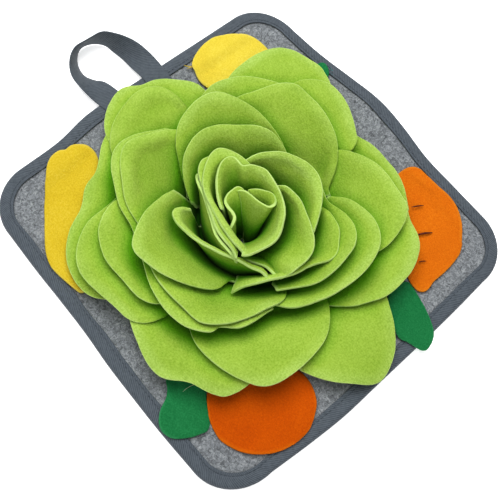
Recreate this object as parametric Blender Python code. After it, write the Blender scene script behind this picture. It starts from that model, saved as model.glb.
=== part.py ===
"""Snuffle mat: a square felt mat with a bound edge and a hanging loop, flat
fleece fruit and leaves sewn round it, and a large rose of overlapping fleece
petals sewn to the middle.

Frame: the origin is the middle of the mat on the surface that it lies on.
X and Y run along the mat's sides and Z points up.  Plan sizes of the petals
and the trim are given along two "corner axes": the first points at the mat's
+X+Y corner, the second at its -X+Y corner.
"""
import math
from collections import namedtuple

import bpy
import numpy as np

MM = 0.001

# ---------------------------------------------------------------- the mat (mm)
MAT_HALF = 149.0           # half of the bound mat's side
CORNER_RADIUS = 37.0
CORNER_RADIUS_LEAST = 4.0
BOW_FALL = 3               # power with which a bow fades toward the middle
CORNER_STEPS = 5
SIDE_STEPS = 6

# How far each bound side stands from the middle, at stations along it from its
# -X or -Y end to its +X or +Y end.
SIDE_STATIONS = (-110.0, -75.0, -45.0, -15.0, 15.0, 45.0, 75.0, 110.0)
SIDE_ROWS = {
    "right": (148.0, 151.7, 153.7, 153.4, 153.0, 152.6, 151.8, 150.0),
    "top": (142.0, 145.0, 148.8, 152.5, 151.6, 148.4, 148.0, 147.8),
    "left": (150.3, 151.2, 156.4, 156.6, 155.6, 154.8, 154.0, 153.2),
    "bottom": (149.6, 150.7, 150.8, 151.4, 153.2, 153.8, 154.0, 153.0),
}

# The +Y side doesn't lie quite flat: it lifts here, from this line outward.
LIFT_HEIGHT = 4.0
LIFT_CENTRE_X = -18.0
LIFT_REACH = 80.0
LIFT_START_Y = 96.0
LIFT_FULL_Y = 146.0

FELT_THICKNESS = 3.0
GAP = 0.3                  # between pieces that touch
TAPE_THICKNESS = 1.0
BINDING_WIDTH = 11.0       # of the tape on each face of the mat
BINDING_TURN = 3.0         # length over which the tape turns round the edge
BINDING_SHOULDER = 0.6     # where that turn steepens: inset, and height
BINDING_SHOULDER_RISE = 0.9
BINDING_HEIGHT = 2.0 * (TAPE_THICKNESS + GAP) + FELT_THICKNESS
FELT_INSET = TAPE_THICKNESS + GAP      # and its rise, where the tape wraps it
FELT_EDGE = TAPE_THICKNESS + 3.0 * GAP
FELT_STEP_START = BINDING_WIDTH + 2.0
FELT_STEP_END = 25.0       # inside this the felt lies on the surface
FELT_LIFT_MIDDLE = 38.0
FELT_LIFT_LINE = 50.0      # inside this the felt is flat

# ------------------------------------------------------- the hanging loop (mm)
LOOP_WIDTH = 20.0
LOOP_THICKNESS = 1.2
LOOP_STEPS = 22
LOOP_ACROSS = 2
CURVE_STEPS = 12           # between two rows, before the curve is evened out
# Its centre line from one sewn end to the other, on the corner axes.  "turn"
# is how far the tape has turned from lying flat (0) to standing on edge (1);
# past 1 its upper edge leans in over the loop.
LoopRow = namedtuple("LoopRow", "right up height turn")
LOOP_ROWS = (
    LoopRow(-112.0, 86.0, 6.6, 0.0),
    LoopRow(-125.5, 95.0, 6.5, 0.0),
    LoopRow(-134.0, 100.5, 6.8, 0.06),
    LoopRow(-142.5, 104.5, 7.8, 0.35),
    LoopRow(-151.0, 110.5, 9.0, 0.58),
    LoopRow(-156.0, 120.5, 10.7, 0.85),
    LoopRow(-156.5, 130.5, 10.8, 1.06),
    LoopRow(-153.0, 139.0, 10.4, 1.25),
    LoopRow(-145.5, 144.5, 10.4, 1.20),
    LoopRow(-136.5, 147.0, 10.8, 1.0),
    LoopRow(-126.0, 144.0, 10.4, 0.75),
    LoopRow(-114.5, 139.5, 8.6, 0.48),
    LoopRow(-104.5, 132.5, 7.6, 0.22),
    LoopRow(-96.5, 125.8, 6.9, 0.04),
    LoopRow(-90.5, 119.5, 6.5, 0.0),
    LoopRow(-80.0, 108.0, 6.6, 0.0),
)

# ------------------------------------------------ fruit and leaf patches (mm)
PATCH_THICKNESS = 2.0
PATCH_CLEARANCE = 0.5      # between a patch and what it's sewn to
PATCH_ALONG = 9            # facets along one patch
PATCH_FACET = 12.0         # width of one facet across it
PATCH_ACROSS_LEAST = 3
SHARP_ANGLE = 50.0         # degrees; edges that turn more stay sharp
PATCH_CLIMB_START = 30.0   # distance from the mat's edge where a patch starts
PATCH_CLIMB_END = 19.0     # to climb onto the tape, and where it's at full height
# Each patch has a straight spine between two places on the corner axes, and a
# row per section across it: share of the spine, then how far the patch reaches
# on the spine's right and on its left, looking along it.
Patch = namedtuple("Patch", "name kind start end sections")
Section = namedtuple("Section", "share right left")
PATCHES = (
    Patch("fruit_banana", "banana", (-141, 53), (-122, -69), (
        Section(0.00, -4.0, 2.0), Section(0.05, -12.5, 6.0), Section(0.12, -25.0, 12.5),
        Section(0.22, -30.2, 16.0), Section(0.40, -30.6, 16.6), Section(0.60, -30.0, 13.8),
        Section(0.75, -27.5, 9.5), Section(0.85, -23.0, 6.5), Section(0.93, -12.5, 4.0),
        Section(1.00, -3.0, 2.0))),
    Patch("fruit_lemon", "lemon", (-62, 137), (32, 136), (
        Section(0.00, -1.5, 1.5), Section(0.05, -7.0, 7.0), Section(0.10, -16.0, 15.0),
        Section(0.20, -24.5, 23.5), Section(0.33, -28.5, 30.0), Section(0.45, -30.5, 32.5),
        Section(0.60, -31.0, 27.5), Section(0.75, -28.0, 19.5), Section(0.88, -20.0, 10.0),
        Section(1.00, -3.0, 2.0))),
    Patch("fruit_carrot", "carrot", (119, 61), (125, -45), (
        Section(0.00, -4.0, 3.0), Section(0.05, -9.0, 16.0), Section(0.12, -11.5, 24.5),
        Section(0.25, -14.0, 37.0), Section(0.38, -15.5, 43.0), Section(0.54, -15.5, 44.3),
        Section(0.66, -13.5, 43.3), Section(0.78, -10.5, 36.8), Section(0.88, -5.0, 25.0),
        Section(0.95, 0.0, 14.0), Section(1.00, 3.0, 6.0))),
    Patch("fruit_orange", "orange", (15, -94), (15, -173), (
        Section(0.00, -6.0, 6.0), Section(0.06, -18.0, 18.0), Section(0.15, -27.5, 27.0),
        Section(0.30, -35.5, 36.0), Section(0.45, -39.3, 39.0), Section(0.60, -38.8, 39.5),
        Section(0.75, -36.0, 36.5), Section(0.87, -29.5, 29.5), Section(0.95, -20.5, 18.5),
        Section(1.00, -7.0, 7.0))),
    Patch("leaf_lower", "leaf", (-40, -122), (-42, -167), (
        Section(0.00, -12.0, 12.5), Section(0.10, -14.8, 14.6), Section(0.28, -14.5, 15.0),
        Section(0.41, -14.3, 15.6), Section(0.55, -15.9, 16.6), Section(0.73, -15.6, 19.0),
        Section(0.80, -14.5, 18.0), Section(0.88, -12.0, 9.0), Section(1.00, -3.0, 1.0))),
    Patch("leaf_right", "leaf", (111, -41), (133.5, -88.5), (
        Section(0.00, -4.0, 1.0), Section(0.12, -10.4, 6.5), Section(0.37, -12.6, 12.5),
        Section(0.65, -14.8, 14.0), Section(0.75, -11.0, 12.5), Section(0.85, -6.5, 10.2),
        Section(0.93, -4.0, 6.5), Section(1.00, -1.5, 1.5))),
    Patch("leaf_upper", "leaf", (38, 119), (51.5, 145), (
        Section(0.00, -3.0, 3.0), Section(0.20, -7.0, 7.0), Section(0.45, -9.0, 9.0),
        Section(0.70, -8.0, 9.0), Section(0.87, -6.5, 8.0), Section(1.00, -3.5, 6.0))),
)

# ---------------------------------------------------------------- petals (mm)
FLEECE_THICKNESS = 2.0
PETAL_FACET = 14.0         # degrees that one facet spans across a petal
PETAL_ACROSS_LEAST = 5
PETAL_ACROSS_MOST = 12
PETAL_ALONG = 5            # facets from seam to rim
ROSE_RADIUS = 88.0         # of the outermost seam
BUD_RIGHT = -3.0           # the bud stands off the middle by this much
BUD_UP = -2.0
ARC_LENGTH = 65.0          # over which the angles below are given
FOOT_RISE_OUTER = 31.0     # degrees above the felt at the outermost seam
FOOT_RISE_BUD = 90.0
TIP_RISE_OUTER = -18.0     # and after ARC_LENGTH of cloth
TIP_RISE_BUD = 75.0
FOOT_WIDTH = 0.72          # of a petal, against its full width
FULL_WIDTH_AT = 0.6        # share of its length where a petal is full width
RIM_SINE_LEAST = -0.95     # the most that a rim turns down
FOOT_CLEARANCE = 0.5        # between a seam and the felt

# One row per petal, from the outermost seam to the bud.  azimuth: of its
# middle, anticlockwise from the +X+Y corner.  half: half its width in
# degrees.  foot: radius of its seam.  reach: radius of its rim.  spiral: how
# much further out its anticlockwise side is sewn.  skew: how much longer that
# side is.  round: 0 for square corners, 1 for a half-round end, more for a
# pointed one.  flat: 1 where it runs straight and not round the bud.  lean:
# how far its rim leans along each corner axis.  tall: how much longer than
# wide the rim's ring is, along the second corner axis.
UPRIGHT = (0.0, 0.0)
Petal = namedtuple("Petal", "name azimuth half foot reach spiral skew round flat lean tall",
                   defaults=(UPRIGHT, 1.0))
PETALS = (
    Petal("petal_outer_1", 311, 28, 85, 151, 0, 0.00, 1.15, 0),
    Petal("petal_outer_2", 33, 26, 85, 120, 0, 0.00, 0.90, 0),
    Petal("petal_outer_3", 188, 38, 88.5, 143, 0, 0.00, 0.90, 0),
    Petal("petal_outer_4", 251, 30, 80, 138, 0, 0.00, 0.70, 0),
    Petal("petal_outer_5", 137, 30, 82, 149, 0, 0.00, 1.10, 0),
    Petal("petal_outer_6", 83, 30, 80, 150, 0, 0.00, 1.10, 0),
    Petal("petal_outer_7", 345, 36, 76, 128, 0, 0.12, 1.00, 0),
    Petal("petal_second_1", 64, 30, 74, 128, 0, 0.00, 1.00, 0),
    Petal("petal_second_2", 279, 36, 71, 128, 0, 0.00, 1.20, 0),
    Petal("petal_second_3", 209, 36, 74, 133, 0, -0.05, 1.00, 0),
    Petal("petal_second_4", 147, 34, 76, 146, 0, 0.06, 1.10, 0),
    Petal("petal_third_1", 13, 38, 67, 114, 0, -0.10, 0.90, 0),
    Petal("petal_third_2", 205, 34, 64, 114, 0, -0.05, 0.70, 0),
    Petal("petal_third_3", 97, 32, 68, 115, 0, 0.00, 0.80, 0),
    Petal("petal_third_4", 71, 42, 61, 110, 0, 0.20, 1.10, 0),
    Petal("petal_third_5", 165, 36, 58, 113, 0, 0.00, 1.00, 0),
    Petal("petal_third_6", 164, 36, 54, 107, 0, 0.00, 1.00, 0),
    Petal("petal_fourth_1", 117, 50, 49, 96, 0, 0.00, 1.20, 0),
    Petal("petal_fourth_2", 339, 52, 54, 94, 0, 0.05, 1.10, 0),
    Petal("petal_fourth_3", 340, 46, 44, 79, 0, 0.00, 1.10, 0),
    Petal("petal_fourth_4", 247, 50, 54, 98, 0, -0.12, 0.90, 0),
    Petal("petal_fourth_5", 252, 50, 50, 90, 0, -0.10, 0.90, 0),
    Petal("petal_fifth_1", 118, 52, 39, 71, 0, 0.00, 0.80, 0),
    Petal("petal_fifth_2", 214, 50, 44, 92, 0, 0.00, 1.00, 0),
    Petal("petal_fifth_3", 316, 66, 35, 65, 0, 0.12, 0.90, 0),
    Petal("petal_sixth_1", 40, 72, 30, 53, 0, 0.00, 0.60, 0),
    Petal("petal_sixth_2", 350, 68, 25, 44, -12, -0.25, 0.60, 0),
    Petal("petal_sixth_3", 228, 56, 26.5, 50, 0, 0.00, 0.30, 0.8),
    Petal("petal_sixth_4", 198, 44, 21.5, 46, 0, 0.00, 0.50, 0.8),
    Petal("petal_sixth_5", 275, 34, 22, 52, 0, 0.00, 0.80, 0),
    Petal("petal_bud_1", 199, 75, 13.5, 26, 0, 0.00, 0.20, 0.72, (-9.0, 2.0)),
    Petal("petal_bud_2", 199.5, 78.5, 10, 22, 0, 0.00, 0.20, 0.70, (-9.0, 2.0)),
    Petal("petal_bud_3", 19, 98, 14, 30, 0, 0.00, 0.15, 0, (-9.0, 2.0), 1.28),
    Petal("petal_heart_1", 10, 150, 4, 12, 0, 0.00, 0.30, 0, (4.0, 5.0)),
    Petal("petal_heart_2", 190, 66, 6.3, 12, 0, 0.00, 0.40, 0, (-9.0, 2.0)),
)


# ============================================================ plan and shape
def smooth_step(value):
    """0 below 0, 1 above 1, and a soft ramp between."""
    t = np.clip(value, 0.0, 1.0)
    return t * t * (3.0 - 2.0 * t)


def soft_bump(value):
    """1 at 0, falling softly to 0 at -1 and 1."""
    return 0.5 * (1.0 + np.cos(np.pi * np.clip(value, -1.0, 1.0)))


def from_corner_axes(right, up):
    """Turn plan places on the corner axes into X and Y."""
    c = math.sqrt(0.5)
    return c * (right - up), c * (right + up)


def side_distance(name, along):
    """Distance of a bound side from the middle, softly between its stations."""
    place = np.interp(along, SIDE_STATIONS, range(len(SIDE_STATIONS)))
    start = np.minimum(np.floor(place).astype(int), len(SIDE_STATIONS) - 2)
    blend = smooth_step(place - start)
    values = np.array(SIDE_ROWS[name])
    return values[start] * (1.0 - blend) + values[start + 1] * blend


def bowed(x, y):
    """Move places on the straight-sided plan to where the soft mat has them."""
    moved_x = x.copy()
    moved_y = y.copy()
    for name, out, along in (("right", x, y), ("left", -x, y), ("top", y, x), ("bottom", -y, x)):
        share = np.clip(out / MAT_HALF, 0.0, None) ** BOW_FALL
        push = share * (side_distance(name, along) - MAT_HALF)
        sign = 1.0 if name in ("right", "top") else -1.0
        if name in ("right", "left"):
            moved_x = moved_x + sign * push
        else:
            moved_y = moved_y + sign * push
    return moved_x, moved_y


def mat_lift(x, y):
    """Height by which the mat's slack +Y side stands off the surface."""
    ramp = smooth_step((y - LIFT_START_Y) / (LIFT_FULL_Y - LIFT_START_Y))
    return LIFT_HEIGHT * ramp * soft_bump((x - LIFT_CENTRE_X) / LIFT_REACH)


def mat_ring(inset):
    """Points of the mat's outline, moved inward by inset, before it bows."""
    half = MAT_HALF - inset
    radius = max(CORNER_RADIUS - inset, CORNER_RADIUS_LEAST)
    points = []
    for corner in range(4):
        turn = corner * math.pi / 2.0
        for step in range(CORNER_STEPS + 1):
            angle = math.pi / 2.0 * step / CORNER_STEPS
            px = half - radius + radius * math.cos(angle)
            py = half - radius + radius * math.sin(angle)
            points.append((px, py, turn))
        straight = half - radius
        for step in range(1, SIDE_STEPS):
            along = straight * (1.0 - 2.0 * step / SIDE_STEPS)
            points.append((along, half, turn))
    flat = [(px * math.cos(t) - py * math.sin(t), px * math.sin(t) + py * math.cos(t))
            for px, py, t in points]
    array = np.array(flat)
    return array[:, 0], array[:, 1]


def mat_surface_ring(inset, height):
    """One ring of the mat at its real place: bowed, lifted, at a height."""
    x, y = bowed(*mat_ring(inset))
    return np.stack([x, y, height + mat_lift(x, y)], axis=1)


# ================================================================ the petals
def petal_surface(row, u, v):
    """Middle surface of one petal.

    u runs from -1 to 1 across it and v from 0 at its seam to 1 at its rim.
    Every petal lies on one family of nested shells, named by the radius of
    their seam.  A shell's upright section is an arc that leaves the felt at
    a foot angle and flattens toward its tip, and outer shells lie flatter, so
    petals on different shells can't cross.
    """
    across = u * np.sqrt(1.0 - row.round * v * v / 2.0)
    along = v * np.sqrt(1.0 - row.round * u * u / 2.0)
    foot = row.foot + 0.5 * row.spiral * across
    share = foot / ROSE_RADIUS
    foot_rise = np.radians(FOOT_RISE_BUD + (FOOT_RISE_OUTER - FOOT_RISE_BUD) * share)
    tip_rise = np.radians(TIP_RISE_BUD + (TIP_RISE_OUTER - TIP_RISE_BUD) * share)
    bend = (foot_rise - tip_rise) / ARC_LENGTH
    rim_sine = np.clip(np.sin(foot_rise) - bend * (row.reach - row.foot), RIM_SINE_LEAST, 1.0)
    length = (foot_rise - np.arcsin(rim_sine)) / bend
    travel = length * along * (1.0 + row.skew * across)
    rise = foot_rise - bend * travel
    radius = foot + (np.sin(foot_rise) - np.sin(rise)) / bend
    height = (np.cos(rise) - np.cos(foot_rise)) / bend
    spread = FOOT_WIDTH + (1.0 - FOOT_WIDTH) * smooth_step(along / FULL_WIDTH_AT)
    swing = np.radians(row.half * across * spread)
    radius = radius * (1.0 + row.flat * along * (1.0 / np.cos(swing * row.flat) - 1.0))
    angle = np.radians(row.azimuth) + swing
    right = BUD_RIGHT * (1.0 - share) + radius * np.cos(angle) + row.lean[0] * along
    stretch = 1.0 + (row.tall - 1.0) * along
    up = BUD_UP * (1.0 - share) + radius * np.sin(angle) * stretch + row.lean[1] * along
    x, y = from_corner_axes(right, up)
    base = FELT_THICKNESS + FOOT_CLEARANCE + 0.5 * FLEECE_THICKNESS * np.cos(foot_rise)
    return np.stack([x, y, base + height], axis=-1)


def surface_normals(points):
    """Unit normals of a grid of points, by differences along both ways."""
    du = np.gradient(points, axis=0)
    dv = np.gradient(points, axis=1)
    normal = np.cross(du, dv)
    return normal / np.linalg.norm(normal, axis=-1, keepdims=True)


def grid_solid(middle, normals, thickness):
    """Vertices and faces of a sheet of even thickness about a grid."""
    rows, columns = middle.shape[:2]
    front = middle + normals * (0.5 * thickness)
    back = middle - normals * (0.5 * thickness)
    vertices = np.concatenate([front.reshape(-1, 3), back.reshape(-1, 3)])
    count = rows * columns
    faces = []
    for i in range(rows - 1):
        for j in range(columns - 1):
            a = i * columns + j
            b = a + columns
            faces.append((a, b, b + 1, a + 1))
            faces.append((count + a, count + a + 1, count + b + 1, count + b))
    rim = [i * columns for i in range(rows)]
    rim += [(rows - 1) * columns + j for j in range(1, columns)]
    rim += [i * columns + columns - 1 for i in range(rows - 2, -1, -1)]
    rim += [j for j in range(columns - 2, 0, -1)]
    for first, second in zip(rim, rim[1:] + rim[:1]):
        faces.append((second, first, count + first, count + second))
    return vertices, faces


# ================================================================== building
def clear_scene():
    """Start from an empty scene."""
    for item in list(bpy.data.objects):
        bpy.data.objects.remove(item, do_unlink=True)


def make_material(name, colour, roughness):
    """A plain Principled material."""
    material = bpy.data.materials.new(name)
    material.use_nodes = True
    shader = material.node_tree.nodes["Principled BSDF"]
    shader.inputs["Base Color"].default_value = (*colour, 1.0)
    shader.inputs["Roughness"].default_value = roughness
    shader.inputs["Metallic"].default_value = 0.0
    return material


def add_object(name, vertices, faces, material):
    """Make one object from places in millimetres."""
    mesh = bpy.data.meshes.new(name)
    scaled = [tuple(float(c) * MM for c in vertex) for vertex in vertices]
    mesh.from_pydata(scaled, [], [tuple(int(i) for i in face) for face in faces])
    mesh.validate()
    mesh.materials.append(material)
    mesh.shade_smooth()
    mesh.set_sharp_from_angle(angle=math.radians(SHARP_ANGLE))
    item = bpy.data.objects.new(name, mesh)
    bpy.context.scene.collection.objects.link(item)
    return item


def ring_strip(rings, closed_section):
    """Join rings of equal length into a tube (closed section) or a strip."""
    count = len(rings[0])
    vertices = np.concatenate(rings)
    faces = []
    last = len(rings) if closed_section else len(rings) - 1
    for k in range(last):
        here = k * count
        there = ((k + 1) % len(rings)) * count
        for i in range(count):
            j = (i + 1) % count
            faces.append((here + i, here + j, there + j, there + i))
    return vertices, faces


def felt_rise(inset):
    """Height of the felt's underside: it rises at the edge over the tape."""
    ramp = smooth_step((FELT_STEP_END - inset) / (FELT_STEP_END - FELT_STEP_START))
    return FELT_INSET * ramp


def build_felt(material):
    """The felt square: flat in the middle, raised where the tape wraps it."""
    insets = (FELT_EDGE, FELT_STEP_START, FELT_STEP_END, FELT_LIFT_MIDDLE, FELT_LIFT_LINE)
    lower = [mat_surface_ring(inset, felt_rise(inset)) for inset in insets]
    upper = [ring + (0.0, 0.0, FELT_THICKNESS) for ring in lower]
    rings = lower[::-1] + upper
    vertices, faces = ring_strip(rings, closed_section=False)
    count = len(rings[0])
    top = (len(rings) - 1) * count
    faces.append(tuple(range(count - 1, -1, -1)))
    faces.append(tuple(range(top, top + count)))
    add_object("felt_base", vertices, faces, material)


def build_binding(material):
    """The tape folded round the mat's edge, as one closed ring."""
    top = BINDING_HEIGHT
    tape = TAPE_THICKNESS
    section = (
        (BINDING_WIDTH, 0.0), (BINDING_TURN, 0.0),
        (BINDING_SHOULDER, BINDING_SHOULDER_RISE), (0.0, 0.5 * top),
        (BINDING_SHOULDER, top - BINDING_SHOULDER_RISE), (BINDING_TURN, top), (BINDING_WIDTH, top),
        (BINDING_WIDTH, top - tape), (FELT_INSET, top - tape),
        (tape, 0.5 * top), (FELT_INSET, tape), (BINDING_WIDTH, tape),
    )
    rings = [mat_surface_ring(inset, height) for inset, height in section]
    vertices, faces = ring_strip(rings, closed_section=True)
    add_object("edge_binding", vertices, faces, material)


def along_rows(rows, steps):
    """A smooth curve through the rows' values, evened out along its length."""
    values = np.array([tuple(row) for row in rows])
    ends = np.concatenate([[2 * values[0] - values[1]], values, [2 * values[-1] - values[-2]]])
    fine = []
    for k in range(len(values) - 1):
        p0, p1, p2, p3 = ends[k:k + 4]
        for t in np.linspace(0.0, 1.0, CURVE_STEPS, endpoint=k == len(values) - 2):
            square = 2 * p0 - 5 * p1 + 4 * p2 - p3
            cube = 3 * p1 - p0 - 3 * p2 + p3
            fine.append(0.5 * (2 * p1 + (p2 - p0) * t + square * t ** 2 + cube * t ** 3))
    fine = np.array(fine)
    strides = np.linalg.norm(np.diff(fine[:, :2], axis=0), axis=1)
    travelled = np.concatenate([[0.0], np.cumsum(strides)])
    places = np.linspace(0.0, travelled[-1], steps + 1)
    columns = [np.interp(places, travelled, fine[:, k]) for k in range(fine.shape[1])]
    return np.stack(columns, axis=1)


def loop_surface(steps, across):
    """Middle surface of the hanging loop's tape."""
    rows = along_rows(LOOP_ROWS, steps)
    x, y = from_corner_axes(rows[:, 0], rows[:, 1])
    centre = np.stack([x, y, rows[:, 2]], axis=1)
    ahead = np.gradient(centre[:, :2], axis=0)
    ahead = ahead / np.linalg.norm(ahead, axis=1, keepdims=True)
    turn = rows[:, 3:4] * math.pi / 2.0
    flat_x = -ahead[:, 1:2] * np.cos(turn)
    flat_y = ahead[:, 0:1] * np.cos(turn)
    side = np.concatenate([flat_x, flat_y, np.sin(turn)], axis=1)
    share = np.linspace(-0.5, 0.5, across + 1)
    return centre[:, None, :] + side[:, None, :] * (LOOP_WIDTH * share)[None, :, None]


def build_loop(material):
    """The hanging loop: a tape sewn down at both ends, on edge at its bend."""
    middle = loop_surface(LOOP_STEPS, LOOP_ACROSS)
    vertices, faces = grid_solid(middle, surface_normals(middle), LOOP_THICKNESS)
    add_object("hanging_loop", vertices, faces, material)


def patch_height(x, y):
    """Height of a patch's underside: on the felt, or up on the edge tape."""
    inset = np.minimum.reduce([
        side_distance("right", y) - x, side_distance("left", y) + x,
        side_distance("top", x) - y, side_distance("bottom", x) + y])
    climb = smooth_step((PATCH_CLIMB_START - inset) / (PATCH_CLIMB_START - PATCH_CLIMB_END))
    low = FELT_THICKNESS + PATCH_CLEARANCE
    high = BINDING_HEIGHT + PATCH_CLEARANCE
    return low + (high - low) * climb + mat_lift(x, y)


def patch_surface(row, along, across):
    """Middle surface of one patch, as a grid of sections along its spine."""
    start = np.array(row.start, dtype=float)
    spine = np.array(row.end, dtype=float) - start
    length = np.linalg.norm(spine)
    ahead = spine / length
    leftward = np.array([-ahead[1], ahead[0]])
    shares = [section.share for section in row.sections]
    turn = 0.5 * (1.0 - np.cos(np.pi * np.linspace(0.0, 1.0, along + 1)))
    right = np.interp(turn, shares, [section.right for section in row.sections])
    left = np.interp(turn, shares, [section.left for section in row.sections])
    part = np.linspace(0.0, 1.0, across + 1)
    offset = right[:, None] + (left - right)[:, None] * part[None, :]
    plan = start + ahead * (length * turn)[:, None, None] + leftward * offset[:, :, None]
    x, y = from_corner_axes(plan[..., 0], plan[..., 1])
    return np.stack([x, y, patch_height(x, y) + 0.5 * PATCH_THICKNESS], axis=-1)


def build_patches(materials):
    """The fruit and leaves sewn round the rose."""
    for row in PATCHES:
        width = max(section.left - section.right for section in row.sections)
        across = max(PATCH_ACROSS_LEAST, round(width / PATCH_FACET))
        middle = patch_surface(row, PATCH_ALONG, across)
        up = np.zeros_like(middle) + (0.0, 0.0, 1.0)
        vertices, faces = grid_solid(middle, up, PATCH_THICKNESS)
        add_object(row.name, vertices, faces, materials[row.kind])


def build_petals(material):
    """Every petal of the rose, one object each."""
    for row in PETALS:
        facets = round(2.0 * row.half / PETAL_FACET)
        across = min(max(facets, PETAL_ACROSS_LEAST), PETAL_ACROSS_MOST)
        u, v = np.meshgrid(np.linspace(-1.0, 1.0, across + 1),
                           np.linspace(0.0, 1.0, PETAL_ALONG + 1), indexing="ij")
        middle = petal_surface(row, u, v)
        vertices, faces = grid_solid(middle, surface_normals(middle), FLEECE_THICKNESS)
        add_object(row.name, vertices, faces, material)


def main():
    """Build the mat."""
    clear_scene()
    fleece = make_material("petal_fleece", (0.40, 0.66, 0.10), 0.95)
    felt = make_material("grey_felt", (0.33, 0.33, 0.34), 0.95)
    twill = make_material("slate_twill_tape", (0.10, 0.12, 0.15), 0.80)
    build_felt(felt)
    build_binding(twill)
    build_loop(twill)
    build_patches({
        "banana": make_material("golden_fleece", (0.79, 0.56, 0.03), 0.95),
        "lemon": make_material("lemon_fleece", (0.98, 0.72, 0.04), 0.95),
        "carrot": make_material("carrot_fleece", (0.86, 0.17, 0.01), 0.95),
        "orange": make_material("orange_fleece", (0.69, 0.10, 0.002), 0.95),
        "leaf": make_material("leaf_fleece", (0.013, 0.22, 0.06), 0.95),
    })
    build_petals(fleece)


main()
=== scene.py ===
"""Snuffle mat: a square felt mat with a bound edge and a hanging loop, flat
fleece fruit and leaves sewn round it, and a large rose of overlapping fleece
petals sewn to the middle.

Frame: metres, the origin in the middle of the mat on the surface that it lies
on, X and Y along the mat's sides, Z up.  Shapes are worked out in millimetres.
Plan places of the petals and the trim are given along two "corner axes": the
first, "right", points at the mat's +X+Y corner, and the second, "up", at its
-X+Y corner.
"""
import itertools
import logging
import math
from dataclasses import dataclass, field
from enum import Enum
from typing import Callable, Optional, Sequence

import bpy
import numpy as np
from mathutils import Matrix


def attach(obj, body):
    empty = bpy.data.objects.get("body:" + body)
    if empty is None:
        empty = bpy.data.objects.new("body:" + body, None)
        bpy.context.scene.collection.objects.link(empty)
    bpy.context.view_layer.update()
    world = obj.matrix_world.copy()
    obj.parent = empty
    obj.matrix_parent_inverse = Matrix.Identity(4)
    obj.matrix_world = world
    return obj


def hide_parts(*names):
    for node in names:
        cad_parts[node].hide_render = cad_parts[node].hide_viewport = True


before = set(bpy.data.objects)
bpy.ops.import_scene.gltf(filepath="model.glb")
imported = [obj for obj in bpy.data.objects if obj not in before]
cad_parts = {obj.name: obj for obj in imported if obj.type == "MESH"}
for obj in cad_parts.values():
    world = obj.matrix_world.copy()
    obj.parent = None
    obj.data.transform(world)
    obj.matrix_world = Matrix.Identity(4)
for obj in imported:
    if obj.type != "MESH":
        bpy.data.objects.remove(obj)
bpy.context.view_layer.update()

log = logging.getLogger("snuffle_mat")

MM = 0.001
# Painted shade: this attribute's depth darkens and greens the petals' colour where they crowd.
PAINTED_SHADE_ATTRIBUTE = "crowding"  # the petals' attribute: how deep each place lies among them
BODY = "root"
HASH_AXES = (73856093, 19349663, 83492791)  # large primes that scatter the noise's cells
HASH_SEED = 668265263
HASH_MIX = 1274126177
HASH_SHIFTS = (13, 15)
HASH_BITS = 0x7FFFFFFF  # keeps a key above 0
NOISE_STEPS = 0xFFFF  # a key's last bits, which give the noise its value
NOISE_ORIGIN = 512.0  # in cells, so that every place in use counts up from 0
QUARTER_TURN = 0.5 * math.pi
WAVE_PERIOD = math.pi / 10.0  # of Blender's wave texture at scale 1

Pair = tuple[float, float]
Spot = tuple[float, float, float]
Surface = Callable[[np.ndarray, np.ndarray], np.ndarray]


class Held(Enum):
    """How a sheet of cloth is held."""

    GATHERED = "gathered"
    LAID = "laid"
    FOLDED = "folded"


class Slot(Enum):
    """The record's material slots."""

    PETAL = "petal_fleece"
    FELT = "grey_felt"
    TAPE = "slate_twill_tape"
    BANANA = "golden_fleece"
    LEMON = "lemon_fleece"
    CARROT = "carrot_fleece"
    ORANGE = "orange_fleece"
    LEAF = "leaf_fleece"


# ============================================================ plan and numbers
def smooth_step(value: np.ndarray) -> np.ndarray:
    """Return 0 below 0, 1 above 1 and a soft ramp between."""
    t = np.clip(value, 0.0, 1.0)
    return t * t * (3.0 - 2.0 * t)


def soft_bump(value: np.ndarray) -> np.ndarray:
    """Return 1 at 0, falling softly to 0 at -1 and 1."""
    return 0.5 * (1.0 + np.cos(np.pi * np.clip(value, -1.0, 1.0)))


def from_corner_axes(right: np.ndarray, up: np.ndarray) -> tuple[np.ndarray, np.ndarray]:
    """Turn plan places on the corner axes into X and Y."""
    c = math.sqrt(0.5)
    return c * (right - up), c * (right + up)


def round_the_square(u: np.ndarray, v: np.ndarray) -> tuple[np.ndarray, np.ndarray]:
    """Turn places on a square grid into how far out and how far round they are.

    Args:
        u: -1 to 1 across the grid.
        v: 0 to 1 along it.

    Returns:
        The reach, 0 in the middle and 1 on the rim, and the turn, from the
        middle of the +u side, where 1 is once round.
    """
    x, y = u, 2.0 * v - 1.0
    reach = np.maximum(np.abs(x), np.abs(y))
    angle = np.arctan2(y, x)
    nearest = np.round(angle / QUARTER_TURN)
    return reach, (nearest + np.tan(angle - nearest * QUARTER_TURN) * 0.5) / 4.0


def cloth_noise(points: np.ndarray, size: float, seed: int) -> np.ndarray:
    """Soft, repeatable unevenness over space.

    Args:
        points: places in mm, with the three axes last.
        size: the width of one swell in mm.
        seed: picks one of many patterns.

    Returns:
        Values from -1 to 1, one a place.
    """
    cell = points / size + NOISE_ORIGIN
    base = np.floor(cell).astype(np.int64)
    part = smooth_step(cell - base)
    total = np.zeros(points.shape[:-1])
    for corner in itertools.product((0, 1), repeat=3):
        key = (base + corner) @ np.array(HASH_AXES) + seed * HASH_SEED
        key = (key ^ (key >> HASH_SHIFTS[0])) & HASH_BITS
        key = (key * HASH_MIX) & HASH_BITS
        key = (key ^ (key >> HASH_SHIFTS[1])) & NOISE_STEPS
        weight = np.prod(np.where(np.array(corner) == 1, part, 1.0 - part), axis=-1)
        total = total + weight * (2.0 * key / NOISE_STEPS - 1.0)
    return total


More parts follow.
